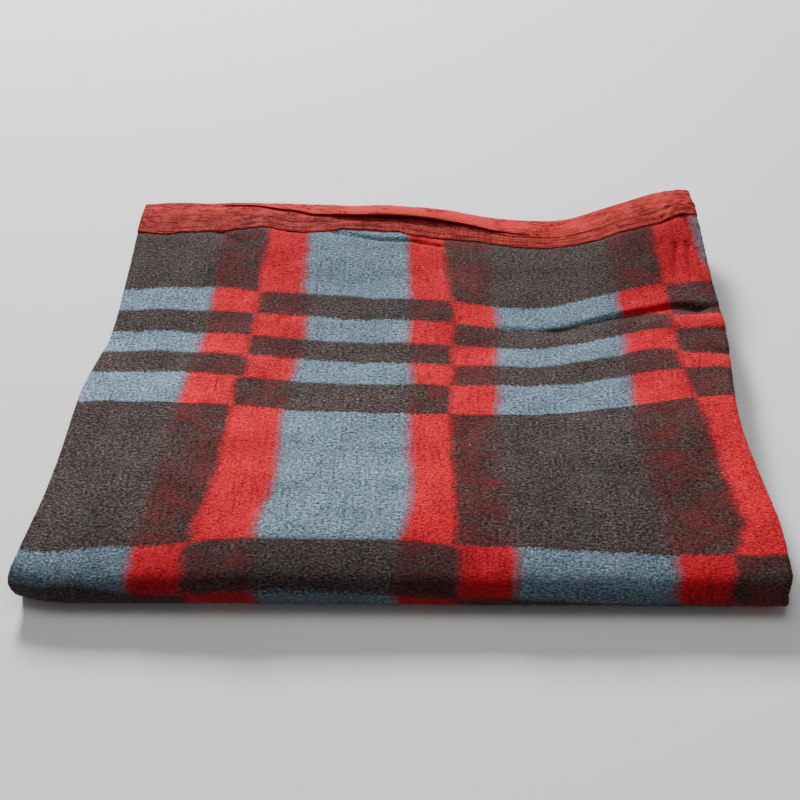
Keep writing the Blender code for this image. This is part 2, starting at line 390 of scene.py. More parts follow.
    @property
    def overhang(self) -> float:
        """How far the ribbon reaches past the cloth's end."""
        return self.ribbon_width - self.ribbon_grip

    @property
    def run_length(self) -> float:
        """The length of each flat run of the doubled cloth."""
        folds = math.pi * (self.roll_radius + self.heights[1] - self.heights[0])
        return (self.blanket_length - 2 * self.overhang - folds) / self.layers

    @property
    def front_y(self) -> float:
        """Where the flat runs end at the front."""
        edge = self.roll_radius + self.heights[0]
        return edge - (self.run_length + self.overhang + edge) / 2

    @property
    def end_y(self) -> float:
        """Where the flat runs end at the back."""
        return self.front_y + self.run_length

    @property
    def half_width(self) -> float:
        """The width of one sheet, from its selvedge to the side fold."""
        return (self.blanket_width - math.pi * self.sheet_radius) / 2

    def run(self, layer: int, side: Side, places: np.ndarray) -> np.ndarray:
        """Return a flat run's places.

        Args:
            layer: The layer that it lies in.
            side: Which way its face looks.
            places: Its places along Y.

        Returns:
            Rows of y, z, normal y, normal z and layer.
        """
        rows = np.empty((len(places), 5))
        rows[:] = (0.0, self.heights[layer], 0.0, side.value, layer)
        rows[:, 0] = places
        return rows

    def fold(
        self, layers: tuple[int, int], centre_y: float, bulge: float, face: float, steps: int
    ) -> np.ndarray:
        """Return the places inside a fold.

        Args:
            layers: The layers that it leaves and reaches.
            centre_y: Where the runs on either side of it end.
            bulge: -1 for a fold at the front, 1 for one at the back.
            face: 1 where the face is on the fold's outside, -1 where it is inside.
            steps: How many steps it has.

        Returns:
            Rows like those of run.
        """
        low, high = self.heights[layers[0]], self.heights[layers[1]]
        turn = math.pi * np.arange(1, steps) / steps
        out_y = bulge * np.sin(turn)
        out_z = -math.copysign(1.0, high - low) * np.cos(turn)
        radius = abs(high - low) / 2
        layer = layers[0] + (layers[1] - layers[0]) * turn / math.pi
        y = centre_y + radius * out_y
        z = (low + high) / 2 + radius * out_z
        return np.stack([y, z, face * out_y, face * out_z, layer], 1)

    def path(self, fine: float, coarse: float) -> Path:
        """Return the whole path of the doubled cloth, from its top end to the one below it.

        Args:
            fine: The step on the top run, which is shorter still by the ribbon and the main crease.
            coarse: The step on the runs below it.

        Returns:
            The places, row by row.
        """
        front, back = self.front_y, self.end_y
        stops = (back, back - self.bound_zone, *self.creased_zone, front)
        steps = (fine * self.bound_step, fine, fine * self.creased_step, fine)
        top = [
            np.linspace(start, end, round((start - end) / step) + 1)[:-1]
            for start, end, step in zip(stops, stops[1:], steps)
        ]
        low = np.linspace(front, back, round(self.run_length / coarse) + 1)
        close = back - np.arange(0.0, self.lower_end_zone, self.lower_end_step)
        lower_end = np.unique(np.concatenate([low, close]))
        rows = np.concatenate(
            [
                self.run(3, Side.UP, np.append(np.concatenate(top), front)),
                self.fold((3, 0), front, -1, 1, self.roll_steps),
                self.run(0, Side.DOWN, low),
                self.fold((0, 1), back, 1, 1, self.fold_steps),
                self.run(1, Side.UP, low[::-1]),
                self.fold((1, 2), front, -1, -1, self.fold_steps),
                self.run(2, Side.DOWN, lower_end),
            ]
        )
        steps = np.hypot(np.diff(rows[:, 0]), np.diff(rows[:, 1]))
        along = self.overhang + np.concatenate([[0.0], np.cumsum(steps)])
        return Path(*rows.T, along)

    def grip_at(self, metres: np.ndarray) -> np.ndarray:
        """Return how far the ribbon reaches over the cloth, at each distance from the selvedge."""
        return self.ribbon_grip + between(self.ribbon_wander, metres)

    def end_path(self, layer: int, side: Side, count: int) -> Path:
        """Return the cloth's end on a layer, repeated for each point of a section across it."""
        rows = np.tile(self.run(layer, side, np.array([self.end_y])), (count, 1))
        return Path(*rows.T, np.zeros(count))

    def across(self, upper: np.ndarray, lower: np.ndarray, fold_steps: int) -> Across:
        """Return the places across the doubled cloth.

        Args:
            upper: The shares of the face sheet's width, from 0 at the selvedge to 1.
            lower: The same for the back sheet.
            fold_steps: How many steps the side fold has.

        Returns:
            The places, column by column, from one selvedge to the other.
        """
        turn = math.pi * np.arange(1, fold_steps) / fold_steps
        share = np.concatenate([upper, np.ones_like(turn), lower[::-1]])
        angle = np.concatenate([np.zeros_like(upper), turn, np.full_like(lower, math.pi)])
        is_lower = np.concatenate([np.zeros_like(upper), np.zeros_like(turn), np.ones_like(lower)])
        metres = np.where(is_lower > 0, 2 - share, share) * self.half_width + angle * self.sheet_radius
        return Across(share, angle, is_lower, metres)

    def relief(self, x: np.ndarray, y: np.ndarray) -> np.ndarray:
        """Return how far the top of the stack stands above a level one.

        Args:
            x: The places' X.
            y: The places' Y.

        Returns:
            The rise at each place, before the creases and the corner's curl.
        """
        rise = sum(s.height * bump(x - s.x, s.reach_x) * bump(y - s.y, s.reach_y) for s in self.swellings)
        for wave in self.waves:
            turns = x / wave.length_x + y / wave.length_y
            rise = rise + wave.height * np.sin(2 * math.pi * turns + wave.phase)
        return rise

    def followed(self, crease: Crease) -> tuple[np.ndarray, np.ndarray, np.ndarray]:
        """Return even steps along a crease's line.

        Args:
            crease: The crease.

        Returns:
            How far along the line each step is, from 0 to 1, where it lies, and the way ahead there.
        """
        line = np.array(crease.line)
        lengths = np.concatenate([[0.0], np.cumsum(np.hypot(*np.diff(line, axis=0).T))])
        share = np.linspace(0.0, 1.0, self.crease_points)
        points = np.stack([np.interp(share * lengths[-1], lengths, line[:, axis]) for axis in (0, 1)], 1)
        ahead = np.gradient(points, axis=0)
        ahead /= np.hypot(*ahead.T)[:, None]
        return share, points, ahead

    def trough(self, crease: Crease, x: np.ndarray, y: np.ndarray) -> tuple[np.ndarray, np.ndarray]:
        """Return a crease's shape.

        Args:
            crease: The crease.
            x: The places' X.
            y: The places' Y.

        Returns:
            How deep it lies at each place, and how far its back leans over it.
        """
        near = np.full(x.shape, np.inf)
        best = np.zeros(x.shape)
        beside = np.zeros(x.shape)
        for share, (at_x, at_y), (to_x, to_y) in zip(*self.followed(crease)):
            away = (x - at_x) ** 2 + (y - at_y) ** 2
            closer = away < near
            best = np.where(closer, share, best)
            beside = np.where(closer, to_x * (y - at_y) - to_y * (x - at_x), beside)
            near = np.where(closer, away, near)
        back_width, front_width = crease.widths
        width = front_width + (back_width - front_width) * ease(beside / self.crease_turn + 0.5)
        start_depth, end_depth = crease.depths
        depth = start_depth + (end_depth - start_depth) * best
        lean = crease.lean * (self.lean_start + (1 - self.lean_start) * best)
        leaning = lean * ease(beside / back_width) * np.exp(-near / self.lean_reach**2)
        return depth * np.exp(-near / width**2), leaning

    def curled(self, x: np.ndarray, y: np.ndarray) -> np.ndarray:
        """Return how far the top layer's back right corner curls up.

        Args:
            x: The places' X.
            y: The places' Y.

        Returns:
            The lift at each place.
        """
        from_side = (self.half_width / 2 - x) / self.corner_reach_x
        from_end = (self.end_y - y) / self.corner_reach_y
        return self.corner_lift * ease(1 - from_side) * ease(1 - from_end)

    def drawn(self, x: np.ndarray, y: np.ndarray) -> np.ndarray:
        """Return how far the rounded front and the drawn-in back shift the places along Y.

        Args:
            x: The places' X.
            y: The places' Y.

        Returns:
            The shift at each place.
        """
        to_back = ease((y - self.front_y) / self.run_length)
        to_front = ease(1 - (y - self.front_y) / self.rounded_depth)
        to_left = np.maximum(0.0, 1 - (x + self.half_width / 2) / self.rounded_reach)
        drawn_in = sum(edge.drawn_in * bump(x - edge.x, edge.reach) for edge in self.drawn_edges)
        return self.rounded_in * to_left**2 * to_front - drawn_in * to_back

    def side_in(self, y: np.ndarray, left: bool) -> np.ndarray:
        """Return how far one side is drawn in.

        Args:
            y: The places' Y.
            left: Whether it is the left side.

        Returns:
            The distance at each place.
        """
        total = np.zeros(y.shape)
        for waist in self.waists:
            reach = np.where(y > waist.y, waist.reach_back, waist.reach_front)
            amount = waist.left_in if left else waist.right_in
            total += amount * (1 - ease(np.abs(y - waist.y) / reach))
        return total

    def place(
        self, across: Across, path: Path, lift: np.ndarray | float, beyond: np.ndarray | float = 0.0
    ) -> np.ndarray:
        """Return points of the doubled cloth in the frame's own space.

        Args:
            across: The columns.
            path: The rows.
            lift: The height above the middle of the point's own sheet.
            beyond: How far past the row, towards the back, the point lies.

        Returns:
            An array of rows, columns and coordinates.
        """
        rows, columns = len(path.y), len(across.share)
        y = path.y[:, None] + np.broadcast_to(beyond, (rows, columns))
        known = np.arange(self.layers)
        by_layer = (self.left_out, self.right_out, self.curl)
        left_out, right_out, curl = (np.interp(path.layer, known, values)[:, None] for values in by_layer)
        left = -self.half_width / 2 - left_out + self.side_in(y, True) + self.lower_sheet_in * across.lower
        right = self.half_width / 2 + right_out - self.side_in(y, False)
        radius = self.sheet_radius + np.broadcast_to(lift, (rows, columns))
        x = left + (right - left) * across.share + radius * np.sin(across.angle)
        offset = radius * np.cos(across.angle)
        climb = ((path.z - self.heights[0]) / (self.heights[-1] - self.heights[0]))[:, None]
        deep, lean = (sum(part) for part in zip(*(self.trough(crease, x, y) for crease in self.creases)))
        rise = (self.relief(x, y) - deep) * climb + self.curled(x, y) * curl
        return np.stack(
            [
                x + self.shift[0],
                y + offset * path.normal_y[:, None] + self.drawn(x, y) - lean + self.shift[1],
                path.z[:, None] + offset * path.normal_z[:, None] + rise,
            ],
            -1,
        )


class Fade(NamedTuple):
    """How a value is read: from one level to another, with what is given at either of them."""

    low: float
    high: float
    at_low: float
    at_high: float


class Patches(NamedTuple):
    """Uneven patches over a piece: the scale of their noise, its detail and how it is read."""

    scale: tuple[float, float]
    detail: float
    fade: Fade


class NodeSheet:
    """A material's node tree, with short calls for the nodes that the finishes use."""

    def __init__(self, name: str) -> None:
        """Start an empty material.

        Args:
            name: Its name.
        """
        self.material = bpy.data.materials.new(name)
        self.material.use_nodes = True
        self.tree = self.material.node_tree
        self.shader = self.tree.nodes["Principled BSDF"]

    def node(self, kind: str, inputs: dict[str | int, object], **settings: object) -> bpy.types.Node:
        """Add a node.

        Args:
            kind: Its type.
            inputs: What goes into its sockets: an output socket, or a plain value.
            settings: Its own properties.

        Returns:
            The node.
        """
        made = self.tree.nodes.new(kind)
        for key, value in settings.items():
            setattr(made, key, value)
        for key, value in inputs.items():
            if isinstance(value, bpy.types.NodeSocket):
                self.tree.links.new(value, made.inputs[key])
            else:
                made.inputs[key].default_value = value
        return made

    def maths(self, operation: str, *values: object) -> bpy.types.NodeSocket:
        """Return a Math node's result."""
        return self.node("ShaderNodeMath", dict(enumerate(values)), operation=operation).outputs[0]

    def times(self, first: object, second: object) -> bpy.types.NodeSocket:
        """Return one value times another."""
        return self.maths("MULTIPLY", first, second)

    def plus(self, first: object, second: object) -> bpy.types.NodeSocket:
        """Return one value plus another."""
        return self.maths("ADD", first, second)

    def minus(self, first: object, second: object) -> bpy.types.NodeSocket:
        """Return one value less another."""
        return self.maths("SUBTRACT", first, second)

    def apart(self, first: object, second: object) -> bpy.types.NodeSocket:
        """Return how far apart two values are."""
        return self.maths("ABSOLUTE", self.minus(first, second))

    def blended(self, first: object, share: float, second: object) -> bpy.types.NodeSocket:
        """Return a share of the first value with the rest of the second."""
        return self.plus(self.times(first, share), self.times(second, 1 - share))

    def noise(self, place: object, scale: tuple[float, float], detail: float = 2.0) -> bpy.types.NodeSocket:
        """Return noise from 0 to 1.

        Args:
            place: The map that it lies on.
            scale: Its scale across and along that map, per metre.
            detail: How much finer noise is in it.

        Returns:
            The noise's value.
        """
        stretched = self.node("ShaderNodeMapping", {"Vector": place, "Scale": (*scale, 1.0)})
        made = self.node(
            "ShaderNodeTexNoise",
            {"Vector": stretched.outputs[0], "Scale": 1.0, "Detail": detail, "Roughness": 0.6},
        )
        return made.outputs["Fac"]

    def ramp(self, value: object, stops: list[tuple[float, tuple[float, ...]]]) -> bpy.types.NodeSocket:
        """Return a colour ramp's colour.

        Args:
            value: The value that it reads.
            stops: The value and the colour of each stop.

        Returns:
            The colour.
        """
        made = self.node("ShaderNodeValToRGB", {"Fac": value})
        elements = made.color_ramp.elements
        while len(elements) < len(stops):
            elements.new(0.5)
        for element, (place, colour) in zip(elements, stops):
            element.position = place
            element.color = (*colour, 1.0)
        return made.outputs["Color"]

    def mix(self, share: object, first: object, second: object, blend: str = "MIX") -> bpy.types.NodeSocket:
        """Return a blend of two colours.

        Args:
            share: How much of the second colour there is.
            first: The first colour.
            second: The second one.
            blend: How the second one is laid over the first.

        Returns:
            The blend.
        """
        made = self.tree.nodes.new("ShaderNodeMix")
        made.data_type = "RGBA"
        made.blend_type = blend
        for number, value in ((0, share), (6, first), (7, second)):
            if isinstance(value, bpy.types.NodeSocket):
                self.tree.links.new(value, made.inputs[number])
            else:
                made.inputs[number].default_value = value if number == 0 else (*value, 1.0)
        return made.outputs[2]

    def fade(self, value: object, fade: Fade) -> bpy.types.NodeSocket:
        """Return a value moved from one range to another and held inside it.

        Args:
            value: The value.
            fade: Both of its ranges.

        Returns:
            The moved value.
        """
        ranges = {"From Min": fade.low, "From Max": fade.high, "To Min": fade.at_low, "To Max": fade.at_high}
        return self.node("ShaderNodeMapRange", {"Value": value, **ranges}).outputs[0]

    def patches(self, place: object, patches: Patches) -> bpy.types.NodeSocket:
        """Return how strong some patches are at each place."""
        return self.fade(self.noise(place, patches.scale, patches.detail), patches.fade)

    def cloth_place(self, title: str = MAP_NAME) -> bpy.types.NodeSocket:
        """Return one of the piece's own maps.

        Args:
            title: The map's name.

        Returns:
            The place on it, in metres.
        """
        own = self.node("ShaderNodeUVMap", {}, uv_map=title)
        span = (MAP_SPAN, MAP_SPAN, 1.0)
        return self.node("ShaderNodeMapping", {"Vector": own.outputs[0], "Scale": span}).outputs[0]

    def dress(self, values: dict[str, object]) -> None:
        """Set or link the shader's own sockets.

        Args:
            values: What goes into each: an output socket, or a plain value.
        """
        for key, value in values.items():
            if isinstance(value, bpy.types.NodeSocket):
                self.tree.links.new(value, self.shader.inputs[key])
            else:
                self.shader.inputs[key].default_value = value

    def bumped(self, height: object, distance: float, strength: float) -> bpy.types.NodeSocket:
        """Return a normal that follows a height from 0 to 1."""
        inputs = {"Height": height, "Distance": distance, "Strength": strength}
        return self.node("ShaderNodeBump", inputs).outputs[0]


@dataclass(frozen=True)
class YarnBlend:
    """The fibres of one colour of the check, from its darkest flecks to its palest."""

    dark: tuple[float, float, float]
    middle: tuple[float, float, float]
    pale: tuple[float, float, float]

    def colour(self, nodes: NodeSheet, flecks: object) -> bpy.types.NodeSocket:
        """Return the blend's colour under a fleck noise."""
        return nodes.ramp(flecks, [(0.37, self.dark), (0.50, self.middle), (0.63, self.pale)])


@dataclass(frozen=True)
class WoolGround:
    """What every part of the wool's colour reads: its place on both maps, the flecks and the fibres."""

    nodes: NodeSheet
    place: object
    across: object
    along: object
    flecks: object
    fibres: object
    from_fold: object


@dataclass(frozen=True)
class CheckedWool:
    """Brushed wool in the reversible check, where light blocks and dark blocks take turns.

    The light blocks are red or blue and the dark ones brown or grey brown, by the yarn of their
    column. Rows and groups of columns each flip a block from dark to light and back. The edges are
    metres across the cloth, and for rows metres along one repeat of them.
    """

    red: YarnBlend = YarnBlend((0.270, 0.008, 0.013), (0.700, 0.012, 0.028), (0.880, 0.030, 0.042))
    blue: YarnBlend = YarnBlend((0.020, 0.032, 0.042), (0.158, 0.242, 0.310), (0.430, 0.570, 0.690))
    brown: YarnBlend = YarnBlend((0.011, 0.007, 0.006), (0.057, 0.041, 0.038), (0.190, 0.148, 0.134))
    tinted: YarnBlend = YarnBlend((0.014, 0.006, 0.0055), (0.070, 0.029, 0.027), (0.170, 0.066, 0.060))
    streak: tuple[float, float, float] = (0.230, 0.018, 0.020)
    bared: tuple[float, float, float] = (0.200, 0.010, 0.014)
    grey: tuple[float, float, float] = (0.078, 0.088, 0.096)
    mauve: tuple[float, float, float] = (0.170, 0.120, 0.145)
    faded: tuple[float, float, float] = (0.205, 0.235, 0.320)
    speck: tuple[float, float, float] = (0.020, 0.018, 0.022)
    nep: tuple[float, float, float] = (0.62, 0.58, 0.52)
    repeat: float = 0.370
    repeat_start: float = -0.014
    row_edges: tuple[float, ...] = (0.184, 0.222, 0.259, 0.291, 0.325)
    group_edges: tuple[float, ...] = (0.184, 0.432, 0.697, 0.938, 1.197, 1.452)
    yarn_edges: tuple[float, ...] = (
        0.119, 0.246, 0.380, 0.487, 0.636, 0.742, 0.883, 0.994, 1.140, 1.254, 1.396,
    )
    span: float = 1.52
    front_fold: float = 0.590
    curled_corner: tuple[float, float] = (0.74, 0.07)
    row_blur: float = 0.0016
    column_blur: float = 0.0036
    fading: Patches = Patches((30.0, 52.0), 4.0, Fade(0.50, 0.68, 0.0, 0.55))
    baring: Patches = Patches((17.0, 24.0), 3.0, Fade(0.50, 0.64, 0.0, 0.85))
    bare_threads: Patches = Patches((250.0, 34.0), 3.0, Fade(0.52, 0.62, 0.0, 1.0))
    strays: Patches = Patches((170.0, 500.0), 2.0, Fade(0.38, 0.62, 0.0, 4.0))
    red_hairs: Patches = Patches((260.0, 460.0), 2.0, Fade(0.38, 0.62, 0.10, 1.0))
    grey_hairs: Patches = Patches((44.0, 90.0), 4.0, Fade(0.54, 0.70, 0.0, 0.50))
    warp: Patches = Patches((300.0, 12.0), 2.0, Fade(0.34, 0.50, 0.82, 1.0))
    tone: Patches = Patches((20.0, 30.0), 5.0, Fade(0.3, 0.7, 0.76, 1.22))
    specks: Patches = Patches((420.0, 640.0), 1.0, Fade(0.635, 0.70, 0.0, 0.70))
    bleed: Fade = Fade(0.46, 0.68, 0.0, 0.62)
    tinting: Fade = Fade(0.36, 0.50, 0.30, 1.0)
    lit_ribbon_shade: Fade = Fade(0.10, 0.34, 0.93, 1.0)
    lit_roll_shade: Fade = Fade(0.012, 0.055, 0.74, 1.0)
    aired_side: Fade = Fade(0.10, 0.22, 0.20, 0.0)
    aired_end: Fade = Fade(0.34, 0.42, 1.0, 0.0)
    roll_shade: Fade = Fade(0.024, 0.070, 0.62, 1.0)
    ribbon_shade: Fade = Fade(0.10, 0.30, 0.84, 1.0)
    curled_corner_shade: Fade = Fade(0.05, 0.15, 0.80, 1.0)
    roughness: Fade = Fade(0.3, 0.7, 1.0, 0.86)
    nep_scale: float = 62.0
    nep_missed: float = 0.80
    nep_shape: Fade = Fade(0.02, 0.06, 0.75, 0.0)

    def material(self) -> bpy.types.Material:
        """Build the wool's material.

        Returns:
            The material, which reads both of the cloth's maps.
        """
        ground = self.ground(NodeSheet("checked_wool"))
        nodes, place = ground.nodes, ground.place
        light, cool = self.blocks(ground)
        colour = nodes.mix(light, self.dark_yarn(ground, cool), self.light_yarn(ground, cool))
        colour = nodes.mix(1.0, colour, self.grey_level(nodes, self.tone_and_shade(ground)), "MULTIPLY")
        colour = nodes.mix(nodes.patches(place, self.specks), colour, self.speck)
        colour = nodes.mix(self.neps(nodes, place), colour, self.nep)
        nodes.dress(
            {
                "Base Color": colour,
                "Roughness": nodes.fade(ground.flecks, self.roughness),
                "Sheen Weight": 0.05,
                "Sheen Roughness": 0.5,
                "Specular IOR Level": 0.10,
                "Normal": nodes.bumped(ground.fibres, 0.0022, 0.9),
            }
        )
        return nodes.material

    def ground(self, nodes: NodeSheet) -> WoolGround:
        """Lay out what every part of the colour reads.

        Args:
            nodes: The node tree.

        Returns:
            The places, the flecks and the fibres.
        """
        place = nodes.cloth_place()
        check = nodes.node("ShaderNodeSeparateXYZ", {0: nodes.cloth_place(CHECK_NAME)})
        across, along = check.outputs[0], check.outputs[1]
        flecks = nodes.noise(place, (290.0, 450.0), 3.0)
        fibres = nodes.blended(flecks, 0.62, nodes.noise(place, (640.0, 760.0)))
        from_fold = nodes.apart(along, self.front_fold)
        return WoolGround(nodes, place, across, along, flecks, fibres, from_fold)

    def blocks(self, ground: WoolGround) -> tuple[object, object]:
        """Weave the check, with frayed edges.

        Args:
            ground: What the colour reads.

        Returns:
            Where its blocks are light, and where its columns are of blue and grey yarn.
        """
        nodes, place = ground.nodes, ground.place
        streaks = nodes.noise(place, (90.0, 620.0), 3.0)
        patches = nodes.noise(place, (30.0, 48.0))
        ripples = nodes.noise(place, (330.0, 210.0))
        sway = nodes.noise(place, (24.0, 17.0), 1.0)
        across = self.nudged(nodes, ground.across, ((streaks, 0.018), (patches, 0.012)))
        along = self.nudged(nodes, ground.along, ((ripples, 0.0050), (sway, 0.006), (ground.flecks, 0.0055)))
        repeats = nodes.maths("DIVIDE", nodes.minus(along, self.repeat_start), self.repeat)
        in_repeat = nodes.times(nodes.maths("FRACT", repeats), self.repeat)
        row = self.states(nodes, in_repeat, self.row_edges, self.repeat, 0.0)
        group = self.states(nodes, across, self.group_edges, self.span, 0.0)
        cool = self.states(nodes, across, self.yarn_edges, self.span, 1.0)
        both = nodes.times(nodes.times(row, group), 2.0)
        return nodes.minus(nodes.plus(row, group), both), cool

    def states(
        self, nodes: NodeSheet, value: object, edges: tuple[float, ...], span: float, first: float
    ) -> bpy.types.NodeSocket:
        """Return a value that flips between 0 and 1 at each edge, over a short blur.

        Args:
            nodes: The node tree.
            value: The place along the span.
            edges: Where it flips.
            span: The length that the value covers.
            first: Its state before the first edge.

        Returns:
            The flipping value.
        """
        blur = self.row_blur if span == self.repeat else self.column_blur
        stops = []
        state = first
        for edge in edges:
            stops.append(((edge - blur) / span, (state,) * 3))
            state = 1.0 - state
            stops.append(((edge + blur) / span, (state,) * 3))
        return nodes.ramp(nodes.maths("DIVIDE", value, span), stops)

    def light_yarn(self, ground: WoolGround, cool: object) -> bpy.types.NodeSocket:
        """Colour the light blocks red and blue, with stray mauve fibres where the two meet.

        Args:
            ground: What the colour reads.
            cool: Where the columns are of blue and grey yarn.

        Returns:
            Their colour, darkened by painted shade on the front roll and next to the ribbon, and fresher at
            the left.
        """
        nodes, place, along = ground.nodes, ground.place, ground.along
        blue = self.blue.colour(nodes, ground.fibres)
        blue = nodes.mix(nodes.patches(place, self.fading), blue, self.faded)
        bare = nodes.times(nodes.patches(place, self.baring), nodes.patches(place, self.bare_threads))
        red = nodes.mix(bare, self.red.colour(nodes, ground.fibres), self.bared)
        # worn holds painted shade: the light blocks darken next to the ribbon and on the front roll.
        worn = nodes.times(nodes.fade(along, self.lit_ribbon_shade), nodes.fade(ground.from_fold, self.lit_roll_shade))
        aired = nodes.times(nodes.fade(ground.across, self.aired_side), nodes.fade(along, self.aired_end))
        level = nodes.times(worn, nodes.plus(aired, 1.0))
        colour = nodes.mix(1.0, nodes.mix(cool, red, blue), self.grey_level(nodes, level), "MULTIPLY")
        seam = nodes.times(cool, nodes.minus(1.0, cool))
        crossed = nodes.maths("MINIMUM", nodes.times(seam, nodes.patches(place, self.strays)), 1.0)
        return nodes.mix(crossed, colour, self.mauve)

    def dark_yarn(self, ground: WoolGround, cool: object) -> bpy.types.NodeSocket:
        """Colour the dark blocks brown, tinted by the red yarn or greyed by the blue.

        Args:
            ground: What the colour reads.
            cool: Where the columns are of blue and grey yarn.

        Returns:
            Their colour.
        """
        nodes, place = ground.nodes, ground.place
        brown = self.brown.colour(nodes, ground.fibres)
        stained = nodes.noise(place, (26.0, 38.0), 4.0)
        tinted = self.tinted.colour(nodes, ground.fibres)
        warm = nodes.mix(nodes.fade(stained, self.tinting), brown, tinted)
        hairs = nodes.times(nodes.fade(stained, self.bleed), nodes.patches(place, self.red_hairs))
        warm = nodes.mix(hairs, warm, self.streak)
        grey = nodes.mix(nodes.patches(place, self.grey_hairs), brown, self.grey)
        return nodes.mix(cool, warm, grey)

    def tone_and_shade(self, ground: WoolGround) -> bpy.types.NodeSocket:
        """Darken the whole check unevenly, and paint shade on the front roll, next to the ribbon and at the
        curled corner.

        Args:
            ground: What the colour reads.

        Returns:
            The level that the colour is multiplied by.
        """
        nodes, place = ground.nodes, ground.place
        level = nodes.times(nodes.patches(place, self.warp), nodes.patches(place, self.tone))
        # Painted shade on the front roll.
        level = nodes.times(level, nodes.fade(ground.from_fold, self.roll_shade))
        # Painted shade next to the ribbon.
        level = nodes.times(level, nodes.fade(ground.along, self.ribbon_shade))
        # Painted shade at the curled corner.
        across, along = self.curled_corner
        from_corner = nodes.plus(nodes.apart(ground.across, across), nodes.apart(ground.along, along))
        return nodes.times(level, nodes.fade(from_corner, self.curled_corner_shade))

    def nudged(
        self, nodes: NodeSheet, value: object, noises: tuple[tuple[object, float], ...]
    ) -> bpy.types.NodeSocket:
        """Return a place pushed about by noises.

        Args:
            nodes: The node tree.
            value: The place.
            noises: Each noise and the length that it spreads over.

        Returns:
            The pushed place.
        """
        for noise, length in noises:
            value = nodes.plus(value, nodes.times(nodes.minus(noise, 0.5), length))
        return value

    def grey_level(self, nodes: NodeSheet, value: object) -> bpy.types.NodeSocket:
        """Return a grey of that level."""
        return nodes.node("ShaderNodeCombineColor", {0: value, 1: value, 2: value}).outputs[0]

    def neps(self, nodes: NodeSheet, place: object) -> bpy.types.NodeSocket:
        """Scatter a few pale knots of fibre.

        Args:
            nodes: The node tree.
            place: The map that they lie on.

        Returns:
            Where they lie.
        """
        cells = nodes.node("ShaderNodeTexVoronoi", {"Vector": place, "Scale": self.nep_scale})
        drawn = nodes.node("ShaderNodeSeparateColor", {0: cells.outputs[1]}).outputs[0]
        chosen = nodes.maths("GREATER_THAN", drawn, self.nep_missed)
        return nodes.times(chosen, nodes.fade(cells.outputs[0], self.nep_shape))


